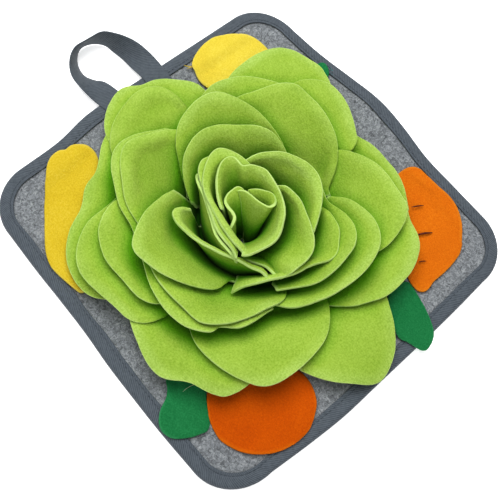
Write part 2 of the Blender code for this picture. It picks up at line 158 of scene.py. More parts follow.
def soft_curve(places: np.ndarray, knots: Sequence[float], values: Sequence[float]) -> np.ndarray:
    """Read a smooth curve through a short table.

    Args:
        places: where the curve is read.
        knots: the table's places, rising.
        values: the table's values.

    Returns:
        The curve's values at the places.
    """
    knot = np.asarray(knots, dtype=float)
    value = np.asarray(values, dtype=float)
    slope = np.gradient(value, knot)
    index = np.clip(np.searchsorted(knot, places, side="right") - 1, 0, len(knot) - 2)
    width = knot[index + 1] - knot[index]
    t = np.clip((places - knot[index]) / width, 0.0, 1.0)
    start = (2 * t ** 3 - 3 * t ** 2 + 1) * value[index]
    start = start + (t ** 3 - 2 * t ** 2 + t) * width * slope[index]
    end = (3 * t ** 2 - 2 * t ** 3) * value[index + 1]
    end = end + (t ** 3 - t ** 2) * width * slope[index + 1]
    return start + end


@dataclass(frozen=True)
class Crease:
    """A soft line pressed into a cloth, or raised on it where its depth is below 0.

    Its ends and width are in mm on the corner axes for a patch, and in shares
    of the petal (across -1 to 1, along 0 to 1) for a petal.
    """

    start: Pair
    end: Pair
    depth: float
    width: float

    def height(self, first: np.ndarray, second: np.ndarray) -> np.ndarray:
        """Return how deep the line is at places on the cloth.

        Args:
            first: the places' first coordinate.
            second: the places' second coordinate.

        Returns:
            The depth, in mm.
        """
        ahead = np.array(self.end) - np.array(self.start)
        length = float(np.hypot(*ahead))
        over, along = first - self.start[0], second - self.start[1]
        share = (over * ahead[0] + along * ahead[1]) / length ** 2
        off = (over * ahead[1] - along * ahead[0]) / length
        return self.depth * np.exp(-(off / self.width) ** 2) * soft_bump(2.0 * share - 1.0) ** 0.5


# ============================================================== Blender's tools
def deselect_all() -> None:
    """Leave object mode with nothing selected."""
    if bpy.context.object is not None and bpy.context.object.mode != "OBJECT":
        bpy.ops.object.mode_set(mode="OBJECT")
    bpy.ops.object.select_all(action="DESELECT")


def select_only(piece: bpy.types.Object) -> None:
    """Select one piece and make it active.

    Args:
        piece: the piece.
    """
    deselect_all()
    piece.select_set(True)
    bpy.context.view_layer.objects.active = piece


def name_piece(name: str) -> bpy.types.Object:
    """Name the piece that was added last, and its mesh.

    Args:
        name: the piece's name.

    Returns:
        The piece.
    """
    piece = bpy.context.object
    piece.name = name
    piece.data.name = name
    return piece


def grid_piece(name: str, across: int, along: int) -> bpy.types.Object:
    """Add a flat grid, two units square, for a sheet to be shaped from.

    Args:
        name: the piece's name.
        across: facets along X.
        along: facets along Y.

    Returns:
        The new grid.
    """
    deselect_all()
    bpy.ops.mesh.primitive_grid_add(x_subdivisions=across, y_subdivisions=along, size=2.0)
    return name_piece(name)


def places_of(piece: bpy.types.Object, kind: str = "co") -> np.ndarray:
    """Read a mesh's places, or its normals, one row a vertex.

    Args:
        piece: the mesh's object.
        kind: "co" for places, "normal" for normals.

    Returns:
        The rows.
    """
    flat = np.empty(len(piece.data.vertices) * 3, dtype=np.float32)
    piece.data.vertices.foreach_get(kind, flat)
    return flat.reshape(-1, 3).astype(float)


def set_places(piece: bpy.types.Object, places: np.ndarray) -> None:
    """Give a mesh's vertices new places."""
    piece.data.vertices.foreach_set("co", np.ascontiguousarray(places, dtype=np.float32).ravel())
    piece.data.update()


def shape_grid(piece: bpy.types.Object, surface: Surface) -> None:
    """Lay a flat grid on a surface.

    Args:
        piece: a grid from grid_piece.
        surface: gives places in mm for u (-1 to 1 across) and v (0 to 1 along).
    """
    flat = places_of(piece)
    set_places(piece, surface(flat[:, 0], 0.5 * (flat[:, 1] + 1.0)) * MM)


def scale_map(piece: bpy.types.Object, width: float, length: float) -> None:
    """Stretch a grid's UV map from a unit square to the cloth's real size.

    Args:
        piece: a grid from grid_piece.
        width: the cloth's width, in m.
        length: its length, in m.
    """
    layer = piece.data.uv_layers.active.data
    flat = np.empty(len(layer) * 2, dtype=np.float32)
    layer.foreach_get("uv", flat)
    layer.foreach_set("uv", (flat.reshape(-1, 2) * (width, length)).astype(np.float32).ravel())


def merge_doubles(piece: bpy.types.Object, distance: float) -> None:
    """Join a mesh's doubled vertices, which closes a seam.

    Args:
        piece: the mesh's object.
        distance: how far apart doubles may lie, in mm.
    """
    select_only(piece)
    bpy.ops.object.mode_set(mode="EDIT")
    bpy.ops.mesh.select_all(action="SELECT")
    bpy.ops.mesh.remove_doubles(threshold=distance * MM)
    bpy.ops.mesh.normals_make_consistent(inside=False)
    bpy.ops.object.mode_set(mode="OBJECT")


def thicken(piece: bpy.types.Object, thickness: float, rounds: int) -> None:
    """Give a sheet its thickness and round its cut edge.

    Args:
        piece: an open sheet, its middle surface.
        thickness: in mm.
        rounds: rounds of subdivision, 0 for none.
    """
    select_only(piece)
    solid = piece.modifiers.new("thickness", "SOLIDIFY")
    solid.thickness = thickness * MM
    solid.offset = 0.0
    solid.use_even_offset = False
    bpy.ops.object.modifier_apply(modifier=solid.name)
    if rounds:
        smooth = piece.modifiers.new("rounding", "SUBSURF")
        smooth.levels = rounds
        smooth.render_levels = rounds
        bpy.ops.object.modifier_apply(modifier=smooth.name)
    bpy.ops.object.shade_smooth()


def roughen(piece: bpy.types.Object, height: float, size: float, seed: int) -> None:
    """Push a finished sheet's skin in and out, as brushed or pressed cloth is.

    Args:
        piece: a closed mesh.
        height: the most that it moves, in mm.
        size: the width of one swell, in mm.
        seed: picks the pattern.
    """
    fine = 0.5  # how wide and how high the second, finer swells are beside the first
    places = places_of(piece)
    push = cloth_noise(places / MM, size, seed)
    push = push + fine * cloth_noise(places / MM, fine * size, seed + 1)
    push = push * height * MM / (1.0 + fine)
    set_places(piece, places + places_of(piece, "normal") * push[:, None])


def surface_size(surface: Surface, steps: int = 24) -> tuple[float, float, float]:
    """Measure a sheet along its cloth, which gives the size it was cut to.

    Args:
        surface: gives places in mm for u and v.
        steps: how finely it is measured.

    Returns:
        The greatest width, the greatest length and the area, in m and m2.
    """
    count = steps + 1
    u, v = np.meshgrid(np.linspace(-1.0, 1.0, count), np.linspace(0.0, 1.0, count), indexing="ij")
    grid = surface(u.ravel(), v.ravel()).reshape(count, count, 3) * MM
    width = np.linalg.norm(np.diff(grid, axis=0), axis=-1).sum(axis=0).max()
    length = np.linalg.norm(np.diff(grid, axis=1), axis=-1).sum(axis=1).max()
    one = grid[1:, 1:] - grid[:-1, :-1]
    other = grid[:-1, 1:] - grid[1:, :-1]
    area = 0.5 * np.linalg.norm(np.cross(one, other), axis=-1).sum()
    return float(width), float(length), float(area)


def finish_piece(piece: bpy.types.Object, material: bpy.types.Material,
                 nodes: Sequence[str] = ()) -> None:
    """Dress a piece and tie it to the frame.

    Args:
        piece: the piece, in place.
        material: its finish.
        nodes: the CAD nodes that it stands for.
    """
    piece.data.materials.clear()
    piece.data.materials.append(material)
    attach(piece, BODY)
    if nodes:
        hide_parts(*nodes)
    log.info("%s: %d faces", piece.name, len(piece.data.polygons))


# ==================================================================== finishes
def linear(code: str) -> tuple[float, float, float, float]:
    """Turn an sRGB hex code into a linear colour.

    Args:
        code: the code, with its # sign.

    Returns:
        Red, green, blue and alpha.
    """
    channels = [int(code[k:k + 2], 16) / 255.0 for k in (1, 3, 5)]
    turned = [c / 12.92 if c <= 0.04045 else ((c + 0.055) / 1.055) ** 2.4 for c in channels]
    return turned[0], turned[1], turned[2], 1.0


def add_node(tree: bpy.types.NodeTree, kind: str, settings: Optional[dict] = None,
             links: Optional[dict] = None) -> bpy.types.Node:
    """Add one node with its settings and links.

    Args:
        tree: the material's node tree.
        kind: the node's type.
        settings: values by input name or number, or by the node's own property;
            "stops" gives a colour ramp's places and hex codes.
        links: output sockets by the input name or number that they feed.

    Returns:
        The new node.
    """
    node = tree.nodes.new(kind)
    for key, value in (settings or {}).items():
        if key == "stops":
            ramp = node.color_ramp
            while len(ramp.elements) < len(value):
                ramp.elements.new(0.5)
            for stop, (place, code) in zip(ramp.elements, value):
                stop.position = place
                stop.color = linear(code)
        elif isinstance(key, int) or key in node.inputs:
            node.inputs[key].default_value = value
        else:
            setattr(node, key, value)
    for key, socket in (links or {}).items():
        tree.links.new(socket, node.inputs[key])
    return node


def new_material(name: str) -> tuple[bpy.types.Material, bpy.types.NodeTree, bpy.types.Node]:
    """Make a material with a bare Principled shader.

    Args:
        name: the material's name.

    Returns:
        The material, its node tree and its shader.
    """
    material = bpy.data.materials.new(name)
    material.use_nodes = True
    return material, material.node_tree, material.node_tree.nodes["Principled BSDF"]


def set_sockets(shader: bpy.types.Node, values: dict) -> None:
    """Set constants on a shader's own sockets, by their names."""
    for name, value in values.items():
        shader.inputs[name].default_value = value


def per_metre(size: float) -> float:
    """Return a texture's scale for a pattern whose size is in mm."""
    return 1.0 / (size * MM)


@dataclass(frozen=True)
class FleeceFinish:
    """Polyester fleece: knitted, brushed up and sheared.

    The eye sees a matt, grainy nap whose tone differs at random; as the same
    tufts raise the bump, its paler tips are partly a painted highlight and its
    deeper colour between the tufts partly painted shade.  It has hardly any
    sheen, and a pale furry line at each cut edge, partly the cut fibres' own
    paler colour and partly a painted highlight where the edge catches light.
    Where the petals crowd, painted shade deepens and greens the colour, standing
    for shade and for light that has been off green cloth before it arrives.
    Sizes are in mm.
    """

    name: str
    deep: str
    body: str
    light: str
    # The cut-edge colour: partly fibre fuzz, partly a painted highlight; also the sheen's tint.
    edge: str
    tuft: float = 1.3
    fibre: float = 0.8
    cloud: float = 26.0
    cloud_share: float = 0.35
    fibre_share: float = 0.4
    sheen: float = 0.04
    rim_start: float = 0.95
    edge_fuzz_and_highlight: float = 0.8
    relief: float = 1.1
    # Painted shade tints, multiplied into the colour by the petals' depth among each other: faint at the
    # level of their skin, deeper below, deepest at the buried feet.
    painted_faint_shade_tint: str = "#EEF2C8"
    painted_shade_tint: str = "#9AD04C"
    painted_deep_shade_tint: str = "#2E6616"

    def material(self) -> bpy.types.Material:
        """Build the fleece's material.

        Returns:
            The material.
        """
        material, tree, shader = new_material(self.name)
        place = add_node(tree, "ShaderNodeTexCoord")
        spot = place.outputs["Object"]
        tufts = add_node(tree, "ShaderNodeTexNoise", {
            "Scale": per_metre(self.tuft), "Detail": 4.0, "Roughness": 0.62}, {"Vector": spot})
        fibres = add_node(tree, "ShaderNodeTexNoise", {
            "Scale": per_metre(self.fibre), "Detail": 2.0, "Roughness": 0.6}, {"Vector": spot})
        clouds = add_node(tree, "ShaderNodeTexNoise", {
            "Scale": per_metre(self.cloud), "Detail": 2.0}, {"Vector": spot})
        blend = add_node(tree, "ShaderNodeMath", {"operation": "MULTIPLY_ADD", 1: self.cloud_share},
                         {0: clouds.outputs["Fac"], 2: tufts.outputs["Fac"]})
        # Nap tone: random, and, as the same tufts raise the bump, also painted highlight on the tuft tips
        # and painted shade between them.
        tone = add_node(tree, "ShaderNodeValToRGB", {"stops": (
            (0.44, self.deep), (0.67, self.body), (0.90, self.light))}, {"Fac": blend.outputs[0]})
        halves = add_node(tree, "ShaderNodeSeparateXYZ", links={0: place.outputs["UV"]})
        sideways = add_node(tree, "ShaderNodeMath", {"operation": "MULTIPLY_ADD", 1: 2.0, 2: -1.0},
                            {0: halves.outputs["X"]})
        outward = add_node(tree, "ShaderNodeMath", {"operation": "ABSOLUTE"}, {0: sideways.outputs[0]})
        nearest = add_node(tree, "ShaderNodeMath", {"operation": "MAXIMUM"},
                           {0: outward.outputs[0], 1: halves.outputs["Y"]})
        # Pale cut-edge line: partly the fibres' own fuzz, partly a painted highlight where the edge
        # catches light.
        rim = add_node(tree, "ShaderNodeMapRange", {
            "From Min": self.rim_start, "From Max": 1.0, "To Min": 0.0, "To Max": self.edge_fuzz_and_highlight},
            {"Value": nearest.outputs[0]})
        # Painted shade: the petals' depth among their neighbours picks a tint that darkens and greens the
        # nap's colour.
        crowding = add_node(tree, "ShaderNodeAttribute", {"attribute_name": PAINTED_SHADE_ATTRIBUTE})
        tint = add_node(tree, "ShaderNodeValToRGB", {"stops": (
            (0.0, "#FFFFFF"), (0.2, self.painted_faint_shade_tint), (0.48, self.painted_shade_tint),
            (1.0, self.painted_deep_shade_tint))}, {"Fac": crowding.outputs["Fac"]})
        # Multiplies the painted shade into the nap's colour.
        pressed = add_node(tree, "ShaderNodeMix", {
            "data_type": "RGBA", "blend_type": "MULTIPLY", 0: 1.0},
            {6: tone.outputs["Color"], 7: tint.outputs["Color"]})
        # Mixes in the edge colour: fibre fuzz and painted highlight.
        colour = add_node(tree, "ShaderNodeMix", {"data_type": "RGBA", 7: linear(self.edge)},
                          {0: rim.outputs[0], 6: pressed.outputs[2]})
        tree.links.new(colour.outputs[2], shader.inputs["Base Color"])
        height = add_node(tree, "ShaderNodeMath", {"operation": "MULTIPLY_ADD", 1: self.fibre_share},
                          {0: fibres.outputs["Fac"], 2: tufts.outputs["Fac"]})
        bump = add_node(tree, "ShaderNodeBump", {"Strength": 0.55, "Distance": self.relief * MM},
                        {"Height": height.outputs[0]})
        tree.links.new(bump.outputs["Normal"], shader.inputs["Normal"])
        set_sockets(shader, {
            "Roughness": 0.95, "Specular IOR Level": 0.15, "Sheen Weight": self.sheen,
            "Sheen Roughness": 0.55, "Sheen Tint": linear(self.edge)})
        return material


@dataclass(frozen=True)
class FeltFinish:
    """Needle-punched grey felt, pressed from mixed recycled fibre.

    The eye sees a matt mottle of cool greys with darker flecks, and a slightly
    hairy skin.  Sizes are in mm.
    """

    name: str = "grey_mottled_felt"
    dark: str = "#55585A"
    body: str = "#82868A"
    pale: str = "#B0B4B6"
    fleck: str = "#3E4043"
    mottle: float = 2.6
    fibre: float = 0.9
    fibre_share: float = 0.5
    fleck_size: float = 4.42
    fleck_strength: float = 0.55
    relief: float = 0.8

    def material(self) -> bpy.types.Material:
        """Build the felt's material.

        Returns:
            The material.
        """
        material, tree, shader = new_material(self.name)
        spot = add_node(tree, "ShaderNodeTexCoord").outputs["Object"]
        mottle = add_node(tree, "ShaderNodeTexNoise", {
            "Scale": per_metre(self.mottle), "Detail": 5.0, "Roughness": 0.7, "Distortion": 1.2},
            {"Vector": spot})
        fibres = add_node(tree, "ShaderNodeTexNoise", {
            "Scale": per_metre(self.fibre), "Detail": 3.0, "Roughness": 0.6, "Distortion": 2.5},
            {"Vector": spot})
        blend = add_node(tree, "ShaderNodeMath", {"operation": "MULTIPLY_ADD", 1: self.fibre_share},
                         {0: fibres.outputs["Fac"], 2: mottle.outputs["Fac"]})
        tone = add_node(tree, "ShaderNodeValToRGB", {"stops": (
            (0.57, self.dark), (0.74, self.body), (0.95, self.pale))}, {"Fac": blend.outputs[0]})
        specks = add_node(tree, "ShaderNodeTexNoise", {
            "Scale": per_metre(self.fleck_size), "Detail": 6.0, "Roughness": 0.75}, {"Vector": spot})
        speck = add_node(tree, "ShaderNodeMapRange", {
            "From Min": 0.58, "From Max": 0.68, "To Min": 0.0, "To Max": self.fleck_strength},
            {"Value": specks.outputs["Fac"]})
        colour = add_node(tree, "ShaderNodeMix", {"data_type": "RGBA", 7: linear(self.fleck)},
                          {0: speck.outputs[0], 6: tone.outputs["Color"]})
        tree.links.new(colour.outputs[2], shader.inputs["Base Color"])
        bump = add_node(tree, "ShaderNodeBump", {"Strength": 0.5, "Distance": self.relief * MM},
                        {"Height": blend.outputs[0]})
        tree.links.new(bump.outputs["Normal"], shader.inputs["Normal"])
        set_sockets(shader, {
            "Roughness": 0.96, "Specular IOR Level": 0.2, "Sheen Weight": 0.2, "Sheen Roughness": 0.6})
        return material


@dataclass(frozen=True)
class TwillFinish:
    """Woven polyester twill tape, dyed slate.

    The eye sees fine slanting ribs with a dull glint along each.  Their colour
    is painted paler on the ribs and darker in the valleys between them, a
    painted glint and painted shade on the weave's relief, mixed with the yarn's
    own uneven tone.  Real ribs are about 0.6 mm apart; they are drawn 1.4 mm
    apart so that they show.
    Sizes are in mm.
    """

    name: str = "slate_woven_twill"
    # Painted shade in the valleys and painted glint on the ribs.
    painted_valley_shade: str = "#454C53"
    rib: str = "#646C74"
    rib_spacing: float = 1.413
    slant: float = math.radians(52.0)
    thread: float = 2.6
    rib_share: float = 0.6
    relief: float = 0.35

    def material(self) -> bpy.types.Material:
        """Build the tape's material.

        Returns:
            The material.
        """
        material, tree, shader = new_material(self.name)
        place = add_node(tree, "ShaderNodeTexCoord")
        turned = add_node(tree, "ShaderNodeMapping", {"Rotation": (0.0, 0.0, self.slant)},
                          {"Vector": place.outputs["UV"]})
        wave = add_node(tree, "ShaderNodeTexWave", {
            "bands_direction": "X", "Scale": per_metre(self.rib_spacing) * WAVE_PERIOD,
            "Distortion": 0.6, "Detail": 2.0, "Detail Scale": 2.0}, {"Vector": turned.outputs[0]})
        threads = add_node(tree, "ShaderNodeTexNoise", {
            "Scale": per_metre(self.thread), "Detail": 3.0, "Roughness": 0.65},
            {"Vector": place.outputs["Object"]})
        blend = add_node(tree, "ShaderNodeMath", {"operation": "MULTIPLY_ADD", 1: self.rib_share},
                         {0: wave.outputs["Fac"], 2: threads.outputs["Fac"]})
        # Painted shade and glint: the wave that raises the ribs also darkens the valleys and lightens the
        # ribs, over the yarn's own tone.
        tone = add_node(tree, "ShaderNodeValToRGB", {"stops": (
            (0.35, self.painted_valley_shade), (1.0, self.rib))}, {"Fac": blend.outputs[0]})
        tree.links.new(tone.outputs["Color"], shader.inputs["Base Color"])
        bump = add_node(tree, "ShaderNodeBump", {"Strength": 0.5, "Distance": self.relief * MM},
                        {"Height": wave.outputs["Fac"]})
        tree.links.new(bump.outputs["Normal"], shader.inputs["Normal"])
        set_sockets(shader, {"Roughness": 0.72, "Specular IOR Level": 0.35, "Sheen Weight": 0.15})
        return material


@dataclass(frozen=True)
class ThreadFinish:
    """Spun polyester sewing thread: matt, with the faint bands of its twist."""

    name: str
    shade: str
    strand: str
    twist: float = 0.9

    def material(self) -> bpy.types.Material:
        """Build the thread's material.

        Returns:
            The material.
        """
        material, tree, shader = new_material(self.name)
        spot = add_node(tree, "ShaderNodeTexCoord").outputs["Object"]
        strands = add_node(tree, "ShaderNodeTexNoise", {
            "Scale": per_metre(self.twist), "Detail": 2.0}, {"Vector": spot})
        tone = add_node(tree, "ShaderNodeValToRGB", {"stops": (
            (0.35, self.shade), (0.65, self.strand))}, {"Fac": strands.outputs["Fac"]})
        tree.links.new(tone.outputs["Color"], shader.inputs["Base Color"])
        set_sockets(shader, {"Roughness": 0.7})
        return material


@dataclass(frozen=True)
class FloorFinish:
    """Matt white studio paper lit from below, so that shadows on it stay faint."""

    name: str = "white_studio_paper"
    shade: str = "#F6F6F6"
    glow: float = 0.6

    def material(self) -> bpy.types.Material:
        """Build the floor's material.

        Returns:
            The material.
        """
        material, _, shader = new_material(self.name)
        set_sockets(shader, {
            "Base Color": linear(self.shade), "Emission Color": linear(self.shade),
            "Emission Strength": self.glow, "Roughness": 0.9, "Specular IOR Level": 0.1})
        return material


# ===================================================================== the mat
@dataclass(frozen=True)
class MatPlan:
    """The soft square that everything is sewn to: its outline and its lift.

    Sizes are in mm.  Each bow row says how far a bound side stands from the
    middle at the stations along it, and bow_fall is the power by which the bow
    fades toward the middle.
    """

    half: float = 149.0
    corner_radius: float = 37.0
    least_radius: float = 4.0
    bow_fall: int = 3
    stations: tuple[float, ...] = (-110.0, -75.0, -45.0, -15.0, 15.0, 45.0, 75.0, 110.0)
    right: tuple[float, ...] = (148.0, 151.7, 153.7, 153.4, 153.0, 152.6, 151.8, 150.0)
    top: tuple[float, ...] = (142.0, 145.0, 148.8, 152.5, 151.6, 148.4, 148.0, 147.8)
    left: tuple[float, ...] = (150.3, 151.2, 156.4, 156.6, 155.6, 154.8, 154.0, 153.2)
    bottom: tuple[float, ...] = (149.6, 150.7, 150.8, 151.4, 153.2, 153.8, 154.0, 153.0)
    lift_height: float = 4.0
    lift_centre_x: float = -18.0
    lift_reach: float = 80.0
    lift_start_y: float = 96.0
    lift_full_y: float = 146.0

    def side_distance(self, row: Sequence[float], along: np.ndarray) -> np.ndarray:
        """Return how far a side stands from the middle at places along it."""
        return soft_curve(np.clip(along, self.stations[0], self.stations[-1]), self.stations, row)

    def bowed(self, x: np.ndarray, y: np.ndarray) -> tuple[np.ndarray, np.ndarray]:
        """Move places on the straight-sided plan to where the mat has them.

        Args:
            x: the places' X.
            y: the places' Y.

        Returns:
            Their new X and Y.
        """
        def push(row: Sequence[float], out: np.ndarray, along: np.ndarray) -> np.ndarray:
            """Return how far a side's bow moves places that stand this far out."""
            share = np.clip(out / self.half, 0.0, None) ** self.bow_fall
            return share * (self.side_distance(row, along) - self.half)

        moved_x = x + push(self.right, x, y) - push(self.left, -x, y)
        moved_y = y + push(self.top, y, x) - push(self.bottom, -y, x)
        return moved_x, moved_y

    def lift(self, x: np.ndarray, y: np.ndarray) -> np.ndarray:
        """Return how far the slack +Y side stands off the floor."""
        ramp = smooth_step((y - self.lift_start_y) / (self.lift_full_y - self.lift_start_y))
        return self.lift_height * ramp * soft_bump((x - self.lift_centre_x) / self.lift_reach)

    def inset(self, x: np.ndarray, y: np.ndarray) -> np.ndarray:
        """Return how far places lie inside the nearest side."""
        return np.minimum.reduce([
            self.side_distance(self.right, y) - x, self.side_distance(self.left, y) + x,
            self.side_distance(self.top, x) - y, self.side_distance(self.bottom, x) + y])

    def ring(self, turn: np.ndarray, inset: np.ndarray) -> tuple[np.ndarray, np.ndarray]:
        """Find places on the outline, moved inward.

        Args:
            turn: how far round, 0 to 1, from the middle of the +X side.
            inset: how far inside the edge.

        Returns:
            X and Y of each place.
        """
        straight = self.half - self.corner_radius
        radius = np.maximum(self.corner_radius - inset, self.least_radius)
        half_arc = 0.5 * self.corner_radius * QUARTER_TURN
        quarter = np.floor(turn * 4.0 + 0.5)
        along = (turn * 4.0 - quarter) * 2.0 * (straight + half_arc)
        on_arc = np.abs(along) > straight
        angle = np.where(on_arc, (np.abs(along) - straight) / self.corner_radius, 0.0)
        side = np.sign(along)
        out = (self.half - inset) - radius * (1.0 - np.cos(angle))
        over = np.where(on_arc, self.half - inset - radius, np.abs(along)) + radius * np.sin(angle)
        over = side * over
        swing = quarter * QUARTER_TURN
        x = out * np.cos(swing) - over * np.sin(swing)
        y = out * np.sin(swing) + over * np.cos(swing)
        return self.bowed(x, y)

    @property
    def outline_length(self) -> float:
        """Length of the straight-sided outline."""
        return 8.0 * (self.half - self.corner_radius) + 2.0 * math.pi * self.corner_radius


@dataclass
class FeltBase:
    """The felt square, raised at its edge where the tape wraps it.

    Sizes are in mm.
    """

    plan: MatPlan
    finish: FeltFinish = field(default_factory=FeltFinish)
    thickness: float = 3.0
    facets: int = 130
    edge_inset: float = 1.9
    step_start: float = 13.0
    step_end: float = 25.0
    step_height: float = 1.3
    swell: float = 0.5
    swell_size: float = 34.0
    swell_seed: int = 3
    skin: float = 0.22
    skin_size: float = 5.0
    skin_seed: int = 11

    def surface(self, u: np.ndarray, v: np.ndarray) -> np.ndarray:
        """Middle surface: a square grid drawn out to the rounded outline.

        Args:
            u: -1 to 1 across the grid.
            v: 0 to 1 along it.

        Returns:
            Places in mm.
        """
        reach, turn = round_the_square(u, v)
        inset = self.edge_inset + (1.0 - reach) * (self.plan.half - self.edge_inset)
        ring_x, ring_y = self.plan.ring(turn, np.full_like(inset, self.edge_inset))
        out_x, out_y = ring_x * reach, ring_y * reach
        ramp = smooth_step((self.step_end - inset) / (self.step_end - self.step_start))
        flat = np.stack([out_x, out_y, np.zeros_like(out_x)], axis=-1)
        swell = self.swell * 0.5 * (1.0 + cloth_noise(flat, self.swell_size, self.swell_seed))
        swell = swell * smooth_step((inset - self.step_start) / self.step_start)
        height = 0.5 * self.thickness + self.step_height * ramp + self.plan.lift(out_x, out_y) + swell
        return np.stack([out_x, out_y, height], axis=-1)

    def build(self) -> bpy.types.Object:
        """Returns:
            The felt.
        """
        piece = grid_piece("felt_square", self.facets, self.facets)
        shape_grid(piece, self.surface)
        thicken(piece, self.thickness, 0)
        roughen(piece, self.skin, self.skin_size, self.skin_seed)
        finish_piece(piece, self.finish.material(), ["felt_base"])
        surface_size(self.surface, steps=60)
        return piece


@dataclass
class EdgeBinding:
    """The tape folded round the mat's edge, with its row of stitches.

    Sizes are in mm.  Puff is how far the tape bulges between its stitches and
    its fold, and lip_loss the share of that lost past the stitches.
    """

    plan: MatPlan
    finish: TwillFinish = field(default_factory=TwillFinish)
    thickness: float = 1.0
    width: float = 11.0
    turn_depth: float = 3.0
    height: float = 5.6
    around: int = 520
    steps: int = 34
    seam_merge: float = 0.01
    puff: float = 0.45
    puff_change: float = 0.5
    puff_size: float = 9.0
    puff_seed: int = 8
    wander: float = 0.5
    wander_size: float = 23.0
    wander_seed: int = 5
    wander_ease: float = 4.0
    stitch_inset: float = 8.7
    stitch_length: float = 2.9
    stitch_gap: float = 0.9
    stitch_radius: float = 0.28
    stitch_dip: float = 0.9
    stitch_proud: float = 0.05
    stitch_sunk: float = 0.6
    lip_ease: float = 2.0
    lip_loss: float = 0.5
    next_turn: float = 0.0005

    def section(self, share: np.ndarray) -> tuple[np.ndarray, np.ndarray, np.ndarray]:
        """Walk across the tape from its upper edge round to its lower edge.

        Args:
            share: 0 at the upper edge, 1 at the lower edge.

        Returns:
            Inset from the mat's edge, height, and 1 on the upper face.
        """
        half_rise = 0.5 * (self.height - self.thickness)
        bend = self.turn_depth - 0.5 * self.thickness
        leg = self.width - self.turn_depth
        arc = QUARTER_TURN * (bend + half_rise)
        walk = share * (2.0 * leg + arc)
        angle = np.clip((walk - leg) / arc, 0.0, 1.0) * math.pi
        inset = self.turn_depth - bend * np.sin(angle)
        inset = inset + np.clip(leg - walk, 0.0, None) + np.clip(walk - leg - arc, 0.0, None)
        rise = 0.5 * self.height + half_rise * np.cos(angle)
        upper = smooth_step(1.0 - angle / QUARTER_TURN)
        return inset, rise, upper

    def surface(self, u: np.ndarray, v: np.ndarray) -> np.ndarray:
        """Middle surface of the tape, puffed on both sides of its stitches.

        Args:
            u: -1 to 1 across the tape.
            v: 0 to 1 round the mat.

        Returns:
            Places in mm.
        """
        inset, rise, upper = self.section(0.5 * (u + 1.0))
        x, y = self.plan.ring(v, inset)
        flat = np.stack([x, y, 0.0 * x], axis=-1)
        drift = self.wander * cloth_noise(flat, self.wander_size, self.wander_seed)
        drift = drift * smooth_step((inset - self.turn_depth) / self.wander_ease)
        x, y = self.plan.ring(v, inset + drift)
        sewn = np.exp(-((inset - self.stitch_inset) / self.stitch_dip) ** 2)
        lip = smooth_step((inset - self.stitch_inset) / self.lip_ease)
        fill = self.puff * (1.0 - sewn) * upper * (1.0 - self.lip_loss * lip)
        fill = fill * (1.0 + self.puff_change * cloth_noise(flat, self.puff_size, self.puff_seed))
        return np.stack([x, y, rise + fill + self.plan.lift(x, y)], axis=-1)

    def stitches(self) -> bpy.types.Object:
        """Sew the row of stitches that holds the tape, above and below.

        Returns:
            The stitches, as one piece.
        """
        deselect_all()
        bpy.ops.mesh.primitive_uv_sphere_add(segments=6, ring_count=5, radius=1.0)
        pattern = bpy.context.object
        base = places_of(pattern)
        pitch = self.stitch_length + self.stitch_gap
        count = int(self.plan.outline_length / pitch)
        turn = (np.arange(count) + 0.5) / count
        copies = []
        for level in (self.height + self.stitch_proud, self.stitch_radius * self.stitch_sunk):
            x, y = self.plan.ring(turn, np.full(count, self.stitch_inset))
            ahead_x, ahead_y = self.plan.ring(turn + self.next_turn, np.full(count, self.stitch_inset))
            for k in range(count):
                ahead = np.array([ahead_x[k] - x[k], ahead_y[k] - y[k]])
                ahead = ahead / np.linalg.norm(ahead)
                long_way = base[:, 2] * 0.5 * self.stitch_length
                wide_way = base[:, 0] * self.stitch_radius
                place = np.stack([
                    x[k] + ahead[0] * long_way - ahead[1] * wide_way,
                    y[k] + ahead[1] * long_way + ahead[0] * wide_way,
                    level + base[:, 1] * self.stitch_radius + self.plan.lift(x[k], y[k])], axis=-1)
                copy = pattern.copy()
                copy.data = pattern.data.copy()
                bpy.context.scene.collection.objects.link(copy)
                set_places(copy, place * MM)
                copies.append(copy)
        bpy.data.objects.remove(pattern)
        deselect_all()
        for copy in copies:
            copy.select_set(True)
        bpy.context.view_layer.objects.active = copies[0]
        bpy.ops.object.join()
        row = name_piece("binding_stitches")
        bpy.ops.object.shade_smooth()
        thread = ThreadFinish("slate_sewing_thread", "#333A41", "#505860")
        finish_piece(row, thread.material())
        return row

    def build(self) -> bpy.types.Object:
        """Returns:
            The binding.
        """
        piece = grid_piece("mat_binding", self.steps, self.around)
        shape_grid(piece, self.surface)
        width, _, _ = surface_size(self.surface, steps=90)
        scale_map(piece, width, self.plan.outline_length * MM)
        merge_doubles(piece, self.seam_merge)
        thicken(piece, self.thickness, 0)
        finish_piece(piece, self.finish.material(), ["edge_binding"])
        row = self.stitches()
        size = surface_size(self.surface, steps=200)
        return piece


@dataclass(frozen=True)
class LoopRow:
    """One station of the hanging loop's centre line, on the corner axes.

    Turn is how far the tape has turned from lying flat (0) to standing on edge
    (1); past 1 its upper edge leans in over the loop.
    """

    right: float
    up: float
    height: float
    turn: float


